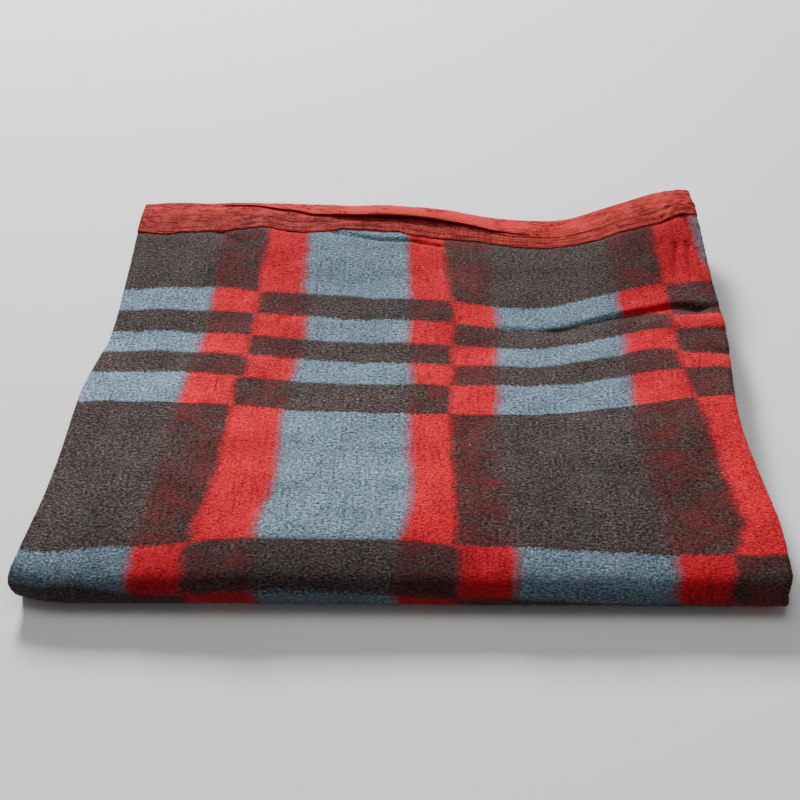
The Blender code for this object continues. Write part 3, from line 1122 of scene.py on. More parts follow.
@dataclass(frozen=True)
class SatinRibbon:
    """The muted red ribbon, a little faded, with painted shade in the grooves of its two rows of stitching
    and in its wrinkles, a painted shadow under its lip and a painted highlight on the lip.
    """

    deep: tuple[float, float, float] = (0.165, 0.014, 0.014)
    middle: tuple[float, float, float] = (0.365, 0.028, 0.023)
    worn: tuple[float, float, float] = (0.490, 0.050, 0.040)
    lip_highlight: tuple[float, float, float] = (0.640, 0.036, 0.036)
    groove_shade: tuple[float, float, float] = (0.040, 0.005, 0.005)
    stitch_lines: tuple[float, ...] = STITCH_LINES
    grip_line: Fade = Fade(0.0005, 0.0017, 0.92, 0.0)
    grip_wander: float = 0.002
    gripped: Patches = Patches((240.0, 30.0), 2.0, Fade(0.35, 0.60, 0.45, 1.0))
    lip_highlight_band: Fade = Fade(0.036, 0.046, 0.0, 0.85)
    lip_shadow_strip: Fade = Fade(0.030, 0.038, 1.0, 0.0)
    lip_shadow_breakup: Fade = Fade(0.40, 0.56, 0.75, 0.0)
    lip_span_from: Fade = Fade(0.12, 0.24, 0.30, 1.0)
    lip_span_to: Fade = Fade(0.54, 0.64, 1.0, 0.30)
    wrinkle_scales: tuple[tuple[float, float], ...] = ((20.0, 150.0), (34.0, 110.0))
    wrinkle_line: Fade = Fade(0.004, 0.019, 1.0, 0.0)
    wrinkled: Fade = Fade(0.46, 0.56, 0.0, 1.0)
    worked_end: Fade = Fade(0.06, 0.26, 0.10, 0.0)
    roughness: Fade = Fade(0.3, 0.7, 0.82, 0.68)

    def material(self) -> bpy.types.Material:
        """Build the ribbon's material.

        Returns:
            The material. Its map runs along the ribbon, and over it from its inner edge.
        """
        nodes = NodeSheet("satin_ribbon")
        place = nodes.cloth_place()
        parts = nodes.node("ShaderNodeSeparateXYZ", {0: place})
        along, over = parts.outputs[0], parts.outputs[1]
        mottle = nodes.noise(place, (50.0, 110.0), 4.0)
        pleats = nodes.noise(place, (360.0, 60.0), 3.0)
        gathers = nodes.noise(place, (34.0, 380.0), 3.0)
        weave = nodes.noise(place, (1100.0, 2400.0), 1.0)
        blend = nodes.blended(mottle, 0.6, gathers)
        colour = nodes.ramp(blend, [(0.36, self.deep), (0.50, self.middle), (0.64, self.worn)])
        # Painted highlight: the lip over the empty edge is paler along the span where it stands open.
        lip_span = nodes.times(nodes.fade(along, self.lip_span_from), nodes.fade(along, self.lip_span_to))
        colour = nodes.mix(nodes.times(nodes.fade(over, self.lip_highlight_band), lip_span), colour, self.lip_highlight)
        # Painted shadow of the lip: the strip under the open lip takes the deep colour, broken up by the
        # pleats.
        lip_shadow = nodes.times(nodes.fade(pleats, self.lip_shadow_breakup), lip_span)
        lip_shadow = nodes.times(lip_shadow, nodes.fade(over, self.lip_shadow_strip))
        colour = self.gripping(nodes, place, over, nodes.mix(lip_shadow, colour, self.deep))
        wrinkles = self.wrinkles(nodes, place, nodes.fade(along, self.worked_end))
        # Painted shade in the wrinkles' creases, in the groove shade colour.
        colour = nodes.mix(nodes.times(wrinkles, 0.78), colour, self.groove_shade)
        folds = nodes.minus(nodes.blended(pleats, 0.4, gathers), nodes.times(wrinkles, 0.35))
        nodes.dress(
            {
                "Base Color": colour,
                "Roughness": nodes.fade(mottle, self.roughness),
                "Sheen Weight": 0.0,
                "Specular IOR Level": 0.08,
                "Normal": nodes.bumped(nodes.blended(folds, 0.9, weave), 0.0034, 0.9),
            }
        )
        return nodes.material

    def gripping(self, nodes: NodeSheet, place: object, over: object, colour: object) -> bpy.types.NodeSocket:
        """Paint shade as dark lines in the grooves where both rows of stitching grip the ribbon.

        Args:
            nodes: The node tree.
            place: The ribbon's map.
            over: The distance over the ribbon from its inner edge.
            colour: The ribbon's colour without them.

        Returns:
            The colour with them.
        """
        swayed = nodes.minus(nodes.noise(place, (30.0, 8.0)), 0.5)
        from_edge = nodes.plus(over, nodes.times(swayed, self.grip_wander))
        broken = nodes.patches(place, self.gripped)
        # Painted shade along each stitch groove.
        for line in self.stitch_lines:
            seam = nodes.times(nodes.fade(nodes.apart(from_edge, line), self.grip_line), broken)
            colour = nodes.mix(seam, colour, self.groove_shade)
        return colour

    def wrinkles(self, nodes: NodeSheet, place: object, worked: object) -> bpy.types.NodeSocket:
        """Run thin broken wrinkles of two sizes over the ribbon.

        Args:
            nodes: The node tree.
            place: The ribbon's map.
            worked: How much the ribbon has been worked there, which gives it more of them.

        Returns:
            Where they run.
        """
        ridges = []
        for scale in self.wrinkle_scales:
            line = nodes.fade(nodes.apart(nodes.noise(place, scale), 0.5), self.wrinkle_line)
            patch = nodes.plus(nodes.noise(place, (26.0, 40.0), 1.0), worked)
            ridges.append(nodes.times(line, nodes.fade(patch, self.wrinkled)))
        return nodes.maths("MAXIMUM", *ridges)


@dataclass(frozen=True)
class SewingThread:
    """The dark red thread of the binding."""

    dark: tuple[float, float, float] = (0.10, 0.012, 0.012)
    pale: tuple[float, float, float] = (0.26, 0.030, 0.028)
    roughness: Fade = Fade(0.3, 0.7, 0.7, 0.5)

    def material(self) -> bpy.types.Material:
        """Build the thread's material.

        Returns:
            The material, twisted along the thread.
        """
        nodes = NodeSheet("sewing_thread")
        place = nodes.node("ShaderNodeTexCoord", {}).outputs["Object"]
        twist = nodes.noise(place, (2400.0, 900.0), 1.0)
        nodes.dress(
            {
                "Base Color": nodes.ramp(twist, [(0.35, self.dark), (0.65, self.pale)]),
                "Roughness": nodes.fade(twist, self.roughness),
                "Normal": nodes.bumped(twist, 0.0002, 0.5),
            }
        )
        return nodes.material


@dataclass(frozen=True)
class PaleFloor:
    """The plain pale floor."""

    colour: tuple[float, float, float] = (0.84, 0.84, 0.84)

    def material(self) -> bpy.types.Material:
        """Build the floor's material.

        Returns:
            The material.
        """
        nodes = NodeSheet("pale_floor")
        nodes.dress({"Base Color": (*self.colour, 1.0), "Roughness": 0.9, "Specular IOR Level": 0.1})
        return nodes.material


@dataclass
class BlanketCloth:
    """The blanket's one length of cloth, as a fine sheet on its folds."""

    stack: FoldedStack
    finish: bpy.types.Material
    fine: float = 0.0046
    coarse: float = 0.024
    selvedge: tuple[float, ...] = (0.0, 0.0003, 0.0009, 0.0018, 0.0032)
    felt_depth: float = 0.0003
    close_width: float = 0.215
    close_step: float = 0.86
    even_step: float = 1.15
    lower_columns: int = 19
    bound_clearance: float = 0.0022
    bound_ramp: float = 0.0040
    drifts: tuple[Drift, ...] = (
        Drift(Stretch(0.40, 0.80, 0.10), Stretch(0.16, 0.20, 0.14), push=(0.000, -0.010)),
        Drift(Stretch(0.40, 0.00, 0.36), Stretch(0.16, 0.20, 0.14), push=(0.000, 0.0215)),
        Drift(Stretch(0.62, 0.02, 0.08), Stretch(0.19, 0.07, 0.08), push=(0.000, -0.005)),
        Drift(Stretch(0.29, 0.04, 0.16), Stretch(0.535, 0.015, 0.060), push=(0.000, -0.009)),
        Drift(Stretch(0.68, 0.06, 0.14), Stretch(0.56, 0.030, 0.080), push=(0.000, 0.007)),
        Drift(Stretch(0.00, 0.00, 0.10), Stretch(0.56, 0.030, 0.080), push=(0.000, 0.009)),
        Drift(Stretch(0.54, 0.17, 0.08), Stretch(0.13, 0.130, 0.060), push=(-0.0075, 0.000)),
        Drift(Stretch(0.73, 0.03, 0.06), Stretch(0.43, 0.040, 0.090), push=(0.018, 0.000)),
        Drift(Stretch(0.19, 0.00, 0.12), Stretch(0.50, 0.020, 0.070), push=(-0.014, 0.000)),
        Drift(Stretch(0.385, 0.01, 0.05), Stretch(0.40, 0.090, 0.050), push=(0.008, 0.000)),
        Drift(Stretch(0.42, 0.02, 0.05), Stretch(0.08, 0.050, 0.060), push=(-0.008, 0.000)),
        Drift(Stretch(0.76, 0.02, 0.03), Stretch(0.57, 0.040, 0.040), push=(0.016, 0.000)),
        Drift(Stretch(0.76, 0.02, 0.03), Stretch(0.27, 0.090, 0.040), push=(0.018, 0.000)),
        Drift(Stretch(0.76, 0.02, 0.04), Stretch(0.08, 0.060, 0.050), push=(0.005, 0.000)),
        Drift(Stretch(0.19, 0.01, 0.05), Stretch(0.22, 0.070, 0.080), push=(-0.006, 0.000)),
        Drift(Stretch(0.00, 0.04, 0.10), Stretch(0.165, 0.012, 0.040), push=(0.000, 0.006)),
        Drift(Stretch(0.25, 0.02, 0.05), Stretch(0.10, 0.050, 0.060), push=(-0.008, 0.000)),
        Drift(Stretch(0.50, 0.34, 0.12), Stretch(0.605, 0.022, 0.038), push=(0.000, 0.0095)),
        Drift(Stretch(0.55, 0.115, 0.035), Stretch(0.580, 0.036, 0.008), push=(0.0085, 0.000)),
        Drift(Stretch(0.00, 0.03, 0.13), Stretch(0.600, 0.020, 0.032), push=(0.000, -0.0055)),
        Drift(Stretch(0.76, 0.05, 0.06), Stretch(0.200, 0.012, 0.030), push=(0.000, 0.0185)),
        Drift(Stretch(0.185, 0.015, 0.035), Stretch(0.580, 0.036, 0.008), push=(-0.009, 0.000)),
        Drift(Stretch(0.185, 0.010, 0.030), Stretch(0.295, 0.010, 0.010), push=(0.011, 0.000)),
        Drift(Stretch(0.73, 0.03, 0.06), Stretch(0.520, 0.012, 0.018), push=(0.009, 0.000)),
        Drift(Stretch(0.21, 0.04, 0.05), Stretch(0.462, 0.010, 0.035), push=(0.0065, 0.000)),
        Drift(Stretch(0.76, 0.05, 0.04), Stretch(0.270, 0.008, 0.025), push=(0.000, 0.013)),
        Drift(Stretch(0.76, 0.02, 0.04), Stretch(0.155, 0.012, 0.025), push=(0.009, 0.000)),
    )
    outside: np.ndarray = field(init=False)
    maps: dict[str, np.ndarray] = field(init=False)
    path: Path = field(init=False)
    columns: Across = field(init=False)

    def build(self) -> bpy.types.Object:
        """Make the sheet, settle it on the frame and put its material on.

        Returns:
            The sheet.
        """
        self.path = self.stack.path(self.fine, self.coarse)
        self.columns = self.stack.across(self.upper_shares(), self.lower_shares(), self.stack.fold_steps)
        self.settle()
        half = self.half_thickness()
        felt = self.felt()
        self.outside = self.stack.place(self.columns, self.path, half + felt)
        inside = self.stack.place(self.columns, self.path, -half)
        self.maps = self.woven()
        points = np.concatenate([self.outside.reshape(-1, 3), inside.reshape(-1, 3)])
        maps = {title: np.concatenate([metres.reshape(-1, 2)] * 2) for title, metres in self.maps.items()}
        faces = slab_faces(*self.outside.shape[:2], outward=True)
        piece = mesh_object("folded_cloth", points, faces, maps)
        piece.data.materials.append(self.finish)
        return piece

    def upper_shares(self) -> np.ndarray:
        """Space the columns of the face sheet, closer at the selvedge and towards the side fold.

        Returns:
            Their shares of the sheet's width.
        """
        half = self.stack.half_width
        even = np.linspace(0.006, half - 0.22, round((half - 0.226) / (self.even_step * self.fine)))
        columns = round(self.close_width / (self.close_step * self.fine))
        close = np.linspace(half - self.close_width, half, columns)
        return np.concatenate([np.array(self.selvedge), even, close]) / half

    def lower_shares(self) -> np.ndarray:
        """Space the columns of the back sheet."""
        half = self.stack.half_width
        return np.concatenate([np.array(self.selvedge), np.linspace(0.010, half, self.lower_columns)]) / half

    def half_thickness(self) -> np.ndarray:
        """Round the sheet at its selvedges and press it thin in the ribbons.

        Returns:
            Half of its thickness at each point.
        """
        from_edge = np.where(self.columns.angle > 0, 1.0, self.columns.share) * self.stack.half_width
        from_edge = np.where(self.columns.lower > 0, self.columns.share * self.stack.half_width, from_edge)
        radius = self.stack.cloth_thickness / 2
        inset = np.clip(1 - from_edge / radius, 0.0, 0.97)
        spared = self.stack.cloth_thickness - self.stack.bound_thickness
        thickness = self.stack.cloth_thickness - spared * self.bound()
        return thickness / 2 * np.sqrt(1 - inset**2)[None, :]

    def bound(self) -> np.ndarray:
        """Find where the ribbons press the cloth thin.

        Returns:
            How far each point is pressed, from 0 to 1.
        """
        ends = ((self.path.layer == 3) | ((self.path.layer == 2) & (self.path.normal_z < 0)))[:, None]
        from_end = self.stack.end_y - self.path.y[:, None]
        reach = self.stack.grip_at(self.columns.metres)[None, :] + self.bound_clearance
        return np.where(ends, ease((reach + self.bound_ramp - from_end) / self.bound_ramp), 0.0)

    def felt(self) -> np.ndarray:
        """Raise the felted surface's own lumps, whose waves are in radians for each metre.

        Returns:
            Their height at each point, which fades out under the ribbon.
        """
        along = self.path.along[:, None]
        across = self.columns.metres[None, :]
        lumps = (
            np.sin(across * 410 + 2.3 * np.sin(along * 190))
            + np.sin(along * 370 + 2.1 * np.sin(across * 230 + 1.0))
            + np.sin(across * 170 + along * 260)
        )
        return self.felt_depth / 3 * lumps * (1 - self.bound())

    def settle(self) -> None:
        """Move the stack so that its cloth lies on the frame's own solid."""
        own = self.stack.place(self.columns, self.path, self.stack.cloth_thickness / 2)
        low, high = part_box("blanket_cloth")
        middle = (own[..., 0].min() + own[..., 0].max()) / 2
        self.stack.shift = ((low[0] + high[0]) / 2 - middle, low[1] - own[..., 1].min())
        log.info("stack settled by %.4f, %.4f", *self.stack.shift)

    def woven(self) -> dict[str, np.ndarray]:
        """Map the cloth for its fibres and for its check.

        Returns:
            Where each point lies on the cloth's outside and in its drifted check, in metres across
            and along.
        """
        across, along = np.meshgrid(self.columns.metres, self.path.along)
        push_across = np.zeros_like(across)
        push_along = np.zeros_like(along)
        for drift in self.drifts:
            share = drift.share(across, along)
            push_across += drift.push[0] * share
            push_along += drift.push[1] * share
        check = np.stack([across - push_across, along - push_along], -1)
        upper = self.columns.lower == 0
        down = np.linalg.norm(np.diff(self.outside[:, upper], axis=0), axis=2).mean(axis=1)
        sideways = np.linalg.norm(np.diff(self.outside[self.path.layer == 3], axis=1), axis=2).mean(axis=0)
        lengths = (np.concatenate([[0.0], np.cumsum(steps)]) for steps in (sideways, down))
        return {MAP_NAME: np.stack(np.meshgrid(*lengths), -1), CHECK_NAME: check}


@dataclass(frozen=True)
class RibbonLie:
    """How a ribbon lies at each place along it: where it grips, folds and ends past the cloth's end."""

    along: np.ndarray
    opened: np.ndarray
    lip: np.ndarray
    grip: np.ndarray
    front: np.ndarray
    depth: np.ndarray
    edge: np.ndarray


@dataclass
class EndRibbon:
    """One ribbon, folded over the doubled cloth's end and gripping it with two rows of stitching.

    Its section is one line of points round the ribbon. The inner steps are distances from its inner
    edge. A folded step is a share of the lip's depth, a share of its height, and how far it is sunk.
    A crown step is a share of the way to the empty edge and a share of the lip's height. A turned
    step is a share of the way to the empty edge, a share of the face's height below or above the
    cloth's middle, and a share of the lip's height.
    """

    stack: FoldedStack
    name: str
    node: str
    layer: int
    side: Side
    puffed: bool
    finish: bpy.types.Material
    thread: bpy.types.Material
    thickness: float = 0.0007
    clearance: float = 0.0003
    spacing: float = 0.0018
    stitch_lines: tuple[float, ...] = STITCH_LINES
    stitch_length: float = 0.0034
    stitch_pitch: float = 0.0046
    stitch_bar: float = 0.7
    stitch_end: float = 0.15
    stitch_dive: float = 1.2
    stitch_taper: float = 0.55
    stitch_lift: float = 0.0003
    stitch_sway: float = 0.0004
    seam_ends: tuple[float, float] = (0.004, 0.006)
    seam_width: float = 0.0014
    pleat_height: float = 0.0006
    gather_height: float = 0.0005
    crumple_height: float = 0.0007
    crumple_span: tuple[float, float] = (0.690, 0.750)
    thread_radius: float = 0.00032
    puff_height: float = 0.0078
    puff_draw_in: float = 0.004
    fold_depth: float = 0.011
    open_knots: tuple[tuple[float, float], ...] = (
        (0.090, 0.0), (0.140, 0.12), (0.200, 0.26), (0.250, 0.36), (0.290, 0.80), (0.345, 1.0), (0.400, 0.88),
        (0.455, 0.58), (0.485, 0.32), (0.515, 0.12), (0.550, 0.0),
    )
    front_knots: tuple[tuple[float, float], ...] = (
        (0.04, 0.014), (0.10, 0.014), (0.147, 0.014), (0.20, 0.006), (0.25, -0.005), (0.32, -0.008),
        (0.42, -0.008), (0.50, -0.009), (0.56, -0.010), (0.62, -0.010),
    )
    inner_steps: tuple[float, ...] = (
        0.0, 0.0005, 0.002, 0.0045, 0.0072, 0.0088, 0.0100, 0.0112, 0.013, 0.016, 0.0190, 0.0208, 0.0220,
        0.0232,
    )
    outer_shares: tuple[float, ...] = (0.35, 0.7, 1.0)
    folded_steps: tuple[tuple[float, float, float], ...] = (
        (0.30, 0.00, -0.0002), (0.80, 0.02, -0.0003), (1.00, 0.22, 0.0), (0.72, 0.46, 0.0), (0.18, 0.66, 0.0),
        (-0.08, 0.84, 0.0), (0.10, 0.98, 0.0), (0.50, 1.00, 0.0), (1.00, 0.95, 0.0),
    )
    crown_steps: tuple[tuple[float, float], ...] = ((0.25, 0.82), (0.50, 0.64), (0.75, 0.44), (0.90, 0.30))
    turned_steps: tuple[tuple[float, float, float], ...] = (
        (1.0, 0.3, 0.20), (0.985, -0.45, 0.10), (0.85, -0.8, 0.02), (0.6, -0.9, 0.0), (0.3, -1.0, 0.0),
        (0.0, -1.0, 0.0),
    )
    rim_height: float = 0.45
    rim_width: float = 0.0006
    columns: Across = field(init=False)
    stitch_faces: list[list[int]] = field(init=False)

    @property
    def top(self) -> float:
        """The height of the ribbon's outer face where it grips the cloth."""
        return self.stack.bound_thickness / 2 + self.clearance + self.thickness

    def opened(self) -> np.ndarray:
        """Return how far the empty edge stands open as a lip over the strip, from 0 to 1."""
        return between(self.open_knots, self.columns.metres) * (self.columns.angle == 0) * float(self.puffed)

    def lie(self) -> RibbonLie:
        """Lay the ribbon out along its length, with a sewn edge that wavers a little.

        Returns:
            How it lies in each column.
        """
        along, opened = self.columns.metres, self.opened()
        return RibbonLie(
            along=along,
            opened=opened,
            lip=self.puff_height * opened,
            grip=self.stack.grip_at(along) + 0.0005 * np.sin(along * 173) + 0.0003 * np.sin(along * 397),
            front=between(self.front_knots, along),
            depth=self.fold_depth * np.minimum(1.0, 1.6 * opened),
            edge=self.stack.overhang - self.puff_draw_in * opened + 0.0003 * np.sin(along * 61),
        )

    def gripping_face(self, lie: RibbonLie) -> list[tuple[np.ndarray, np.ndarray]]:
        """Return the outer face from its inner edge to the fold of the lip.

        Args:
            lie: How the ribbon lies.

        Returns:
            How far each line of it lies beyond the cloth's end, and its height.
        """
        last = self.inner_steps[-1]
        far = lie.grip + lie.front - 0.004
        strip = [np.full_like(lie.along, inward) for inward in self.inner_steps]
        strip += [last + (far - last) * share for share in self.outer_shares]
        face = []
        for inward in strip:
            rise = self.top * np.minimum(1.0, self.rim_height + inward / self.rim_width)
            face.append((inward - lie.grip, rise + self.puckers(lie.along, inward) * (inward > 0.001)))
        return face

    def lip_fold(self, lie: RibbonLie) -> list[tuple[np.ndarray, np.ndarray]]:
        """Return the fold under the lip and the lip's front.

        Args:
            lie: How the ribbon lies.

        Returns:
            Its lines, in the form that gripping_face gives.
        """
        fold = []
        for number, (share, raised, sunk) in enumerate(self.folded_steps):
            beyond = lie.front + lie.depth * share + 0.0005 * number * (1 - lie.opened)
            fold.append((beyond, self.top + lie.lip * raised + sunk))
        return fold

    def crown(self, lie: RibbonLie) -> list[tuple[np.ndarray, np.ndarray]]:
        """Return the lip's top, down towards the empty edge.

        Args:
            lie: How the ribbon lies.

        Returns:
            Its lines, in the form that gripping_face gives.
        """
        start = lie.front + lie.depth + 0.0045
        swayed = 2.0 * np.sin(lie.along * 53)
        crown = []
        for share, raised in self.crown_steps:
            wrinkle = (0.0004 + 0.0003 * lie.opened) * np.sin(lie.along * 210 + 7.0 * share + swayed)
            height = self.top * (1 - 0.25 * share) + lie.lip * raised + wrinkle * math.sin(math.pi * share)
            crown.append((start + (lie.edge - start) * share, height))
        return crown

    def back_face(self, lie: RibbonLie) -> list[tuple[np.ndarray, np.ndarray]]:
        """Return the turn at the empty edge and the face under the cloth.

        Args:
            lie: How the ribbon lies.

        Returns:
            Its lines, in the form that gripping_face gives.
        """
        face = []
        for share, level, raised in self.turned_steps:
            face.append((lie.edge * share, self.top * level + lie.lip * raised))
        for inward in self.inner_steps[::-2]:
            level = -self.top * min(1.0, self.rim_height + inward / self.rim_width)
            face.append((inward - lie.grip, np.full_like(lie.along, level)))
        return face

    def section(self) -> tuple[np.ndarray, np.ndarray, np.ndarray]:
        """Return the outer line for each column.

        Returns:
            How far each point lies beyond the cloth's end, its height above the sheet's middle,
            and its distance over the ribbon from the inner edge.
        """
        lie = self.lie()
        seen = self.gripping_face(lie) + self.lip_fold(lie) + self.crown(lie)
        beyond, height = (np.array(part) for part in zip(*seen, *self.back_face(lie)))
        is_seen = (np.arange(len(height)) < len(seen))[:, None]
        height += self.crumple(lie.along, beyond + lie.grip) * is_seen
        steps = np.hypot(np.diff(beyond, axis=0), np.diff(height, axis=0))
        over = np.concatenate([np.zeros((1, len(lie.along))), np.cumsum(steps, axis=0)])
        return beyond, height, over

    def puckers(self, along: np.ndarray, inward: np.ndarray) -> np.ndarray:
        """Return the small pleats between the stitch rows and the gathers along them.

        Args:
            along: The places along the ribbon.
            inward: Their distance from its inner edge.

        Returns:
            Their height.
        """
        seam = sum(np.exp(-(((inward - line) / self.seam_width) ** 2)) for line in self.stitch_lines)
        pleats = 0.5 + 0.5 * np.sin(along * 1150 + 1.9 * np.sin(along * 97) + inward * 120)
        gathers = np.sin(inward * 640 + 3.0 * np.sin(along * 31) + 1.3 * np.sin(along * 83))
        patch = 0.5 + 0.5 * np.sin(along * 23 + 1.0)
        raised = self.pleat_height * pleats * (1 - 0.6 * patch) + self.gather_height * (1 + gathers) * patch
        return raised * (1 - 0.85 * np.minimum(seam, 1.0))

    def crumple(self, along: np.ndarray, inward: np.ndarray) -> np.ndarray:
        """Return the wrinkles at the curled right corner, of the ribbon on the top layer alone.

        Args:
            along: The places along the ribbon.
            inward: Their distance from its inner edge.

        Returns:
            Their height.
        """
        lines = np.sin(along * 330 - inward * 260) + np.sin(along * 190 + inward * 420 + 1.0)
        first, last = self.crumple_span
        in_corner = ease((along - first) / 0.025) * ease((last - along) / 0.010)
        return self.crumple_height * (2 + lines) * in_corner * float(self.puffed)

    def build(self) -> bpy.types.Object:
        """Make the ribbon as a thin closed sheet and put its material on.

        Returns:
            The ribbon.
        """
        count = round(self.stack.half_width / self.spacing)
        upper = np.linspace(0.0, 1.0, count)
        self.columns = self.stack.across(upper, np.linspace(0.0, 1.0, count // 4), self.stack.fold_steps)
        beyond, height, over = self.section()
        path = self.stack.end_path(self.layer, self.side, len(beyond))
        inner_beyond, inner_height = self.inset(beyond, height)
        outside = self.stack.place(self.columns, path, height, beyond)
        inside = self.stack.place(self.columns, path, inner_height, inner_beyond)
        metres = np.stack([np.broadcast_to(self.columns.metres, over.shape), over], -1).reshape(-1, 2)
        points = np.concatenate([outside.reshape(-1, 3), inside.reshape(-1, 3)])
        faces = slab_faces(*outside.shape[:2], outward=self.side is Side.DOWN)
        piece = mesh_object(self.name, points, faces, {MAP_NAME: np.concatenate([metres, metres])})
        piece.data.materials.append(self.finish)
        return piece

    def inset(self, beyond: np.ndarray, height: np.ndarray) -> tuple[np.ndarray, np.ndarray]:
        """Return the section's line moved inwards by the ribbon's thickness.

        Args:
            beyond: How far the outer line lies beyond the cloth's end.
            height: Its height.

        Returns:
            The same for the inner line.
        """
        step_beyond = np.gradient(beyond, axis=0)
        step_height = np.gradient(height, axis=0)
        length = np.maximum(np.hypot(step_beyond, step_height), 1e-9)
        return beyond + step_height / length * self.thickness, height - step_beyond / length * self.thickness

    def stitch(self) -> np.ndarray:
        """Model one stitch: a short bar of thread whose ends dive into the ribbon.

        Returns:
            Its points. Its faces are kept in stitch_faces.
        """
        bpy.ops.object.select_all(action="DESELECT")
        bpy.ops.mesh.primitive_cylinder_add(
            vertices=6,
            radius=self.thread_radius,
            depth=self.stitch_length * self.stitch_bar,
            rotation=(0, math.pi / 2, 0),
        )
        model = bpy.context.object
        bpy.ops.object.transform_apply(rotation=True)
        bpy.ops.object.mode_set(mode="EDIT")
        bpy.ops.mesh.select_mode(type="FACE")
        for direction in (-1.0, 1.0):
            bpy.ops.mesh.select_all(action="DESELECT")
            bpy.ops.object.mode_set(mode="OBJECT")
            for face in model.data.polygons:
                face.select = face.normal.x * direction > 0.9
            bpy.ops.object.mode_set(mode="EDIT")
            out = direction * self.stitch_length * self.stitch_end
            move = (out, 0, -self.thread_radius * self.stitch_dive)
            bpy.ops.mesh.extrude_region_move(TRANSFORM_OT_translate={"value": move})
            bpy.ops.transform.resize(value=(1.0, self.stitch_taper, self.stitch_taper))
        bpy.ops.object.mode_set(mode="OBJECT")
        self.stitch_faces = [list(face.vertices) for face in model.data.polygons]
        points = np.array([vertex.co[:] for vertex in model.data.vertices])
        bpy.data.objects.remove(model, do_unlink=True)
        return points

    def sew(self) -> bpy.types.Object:
        """Make both rows of stitches as one joined mesh on the ribbon's face.

        Returns:
            The stitching.
        """
        model = self.stitch()
        span, half = self.stack.blanket_width, self.stack.half_width
        starts = np.arange(self.seam_ends[0], span - self.seam_ends[1], self.stitch_pitch)
        lower = starts > half + math.pi * self.stack.sheet_radius
        angle = np.clip((starts - half) / self.stack.sheet_radius, 0.0, math.pi)
        share = np.where(lower, (span - starts) / half, np.minimum(starts / half, 1.0))
        at = Across(share, angle, lower.astype(float), starts)
        path = self.stack.end_path(self.layer, self.side, 1)
        level = self.top + self.stitch_lift
        stitches = []
        for line in self.stitch_lines:
            sway = self.stitch_sway * np.sin(starts * 37)
            beyond = (line + sway - self.stack.grip_at(starts))[None, :]
            root = self.stack.place(at, path, level, beyond)[0]
            up = self.stack.place(at, path, level + 0.001, beyond)[0] - root
            away = self.stack.place(at, path, level, beyond + 0.001)[0] - root
            up, away = (step / np.linalg.norm(step, axis=1)[:, None] for step in (up, away))
            turn = np.stack([np.cross(away, up), away, up], 1)
            stitches.append(root[:, None, :] + np.einsum("pk,skc->spc", model, turn))
        points = np.concatenate(stitches).reshape(-1, 3)
        firsts = range(0, len(points), len(model))
        faces = [[first + corner for corner in face] for first in firsts for face in self.stitch_faces]
        piece = mesh_object(self.name + "_stitching", points, faces, {})
        piece.data.materials.append(self.thread)
        return piece


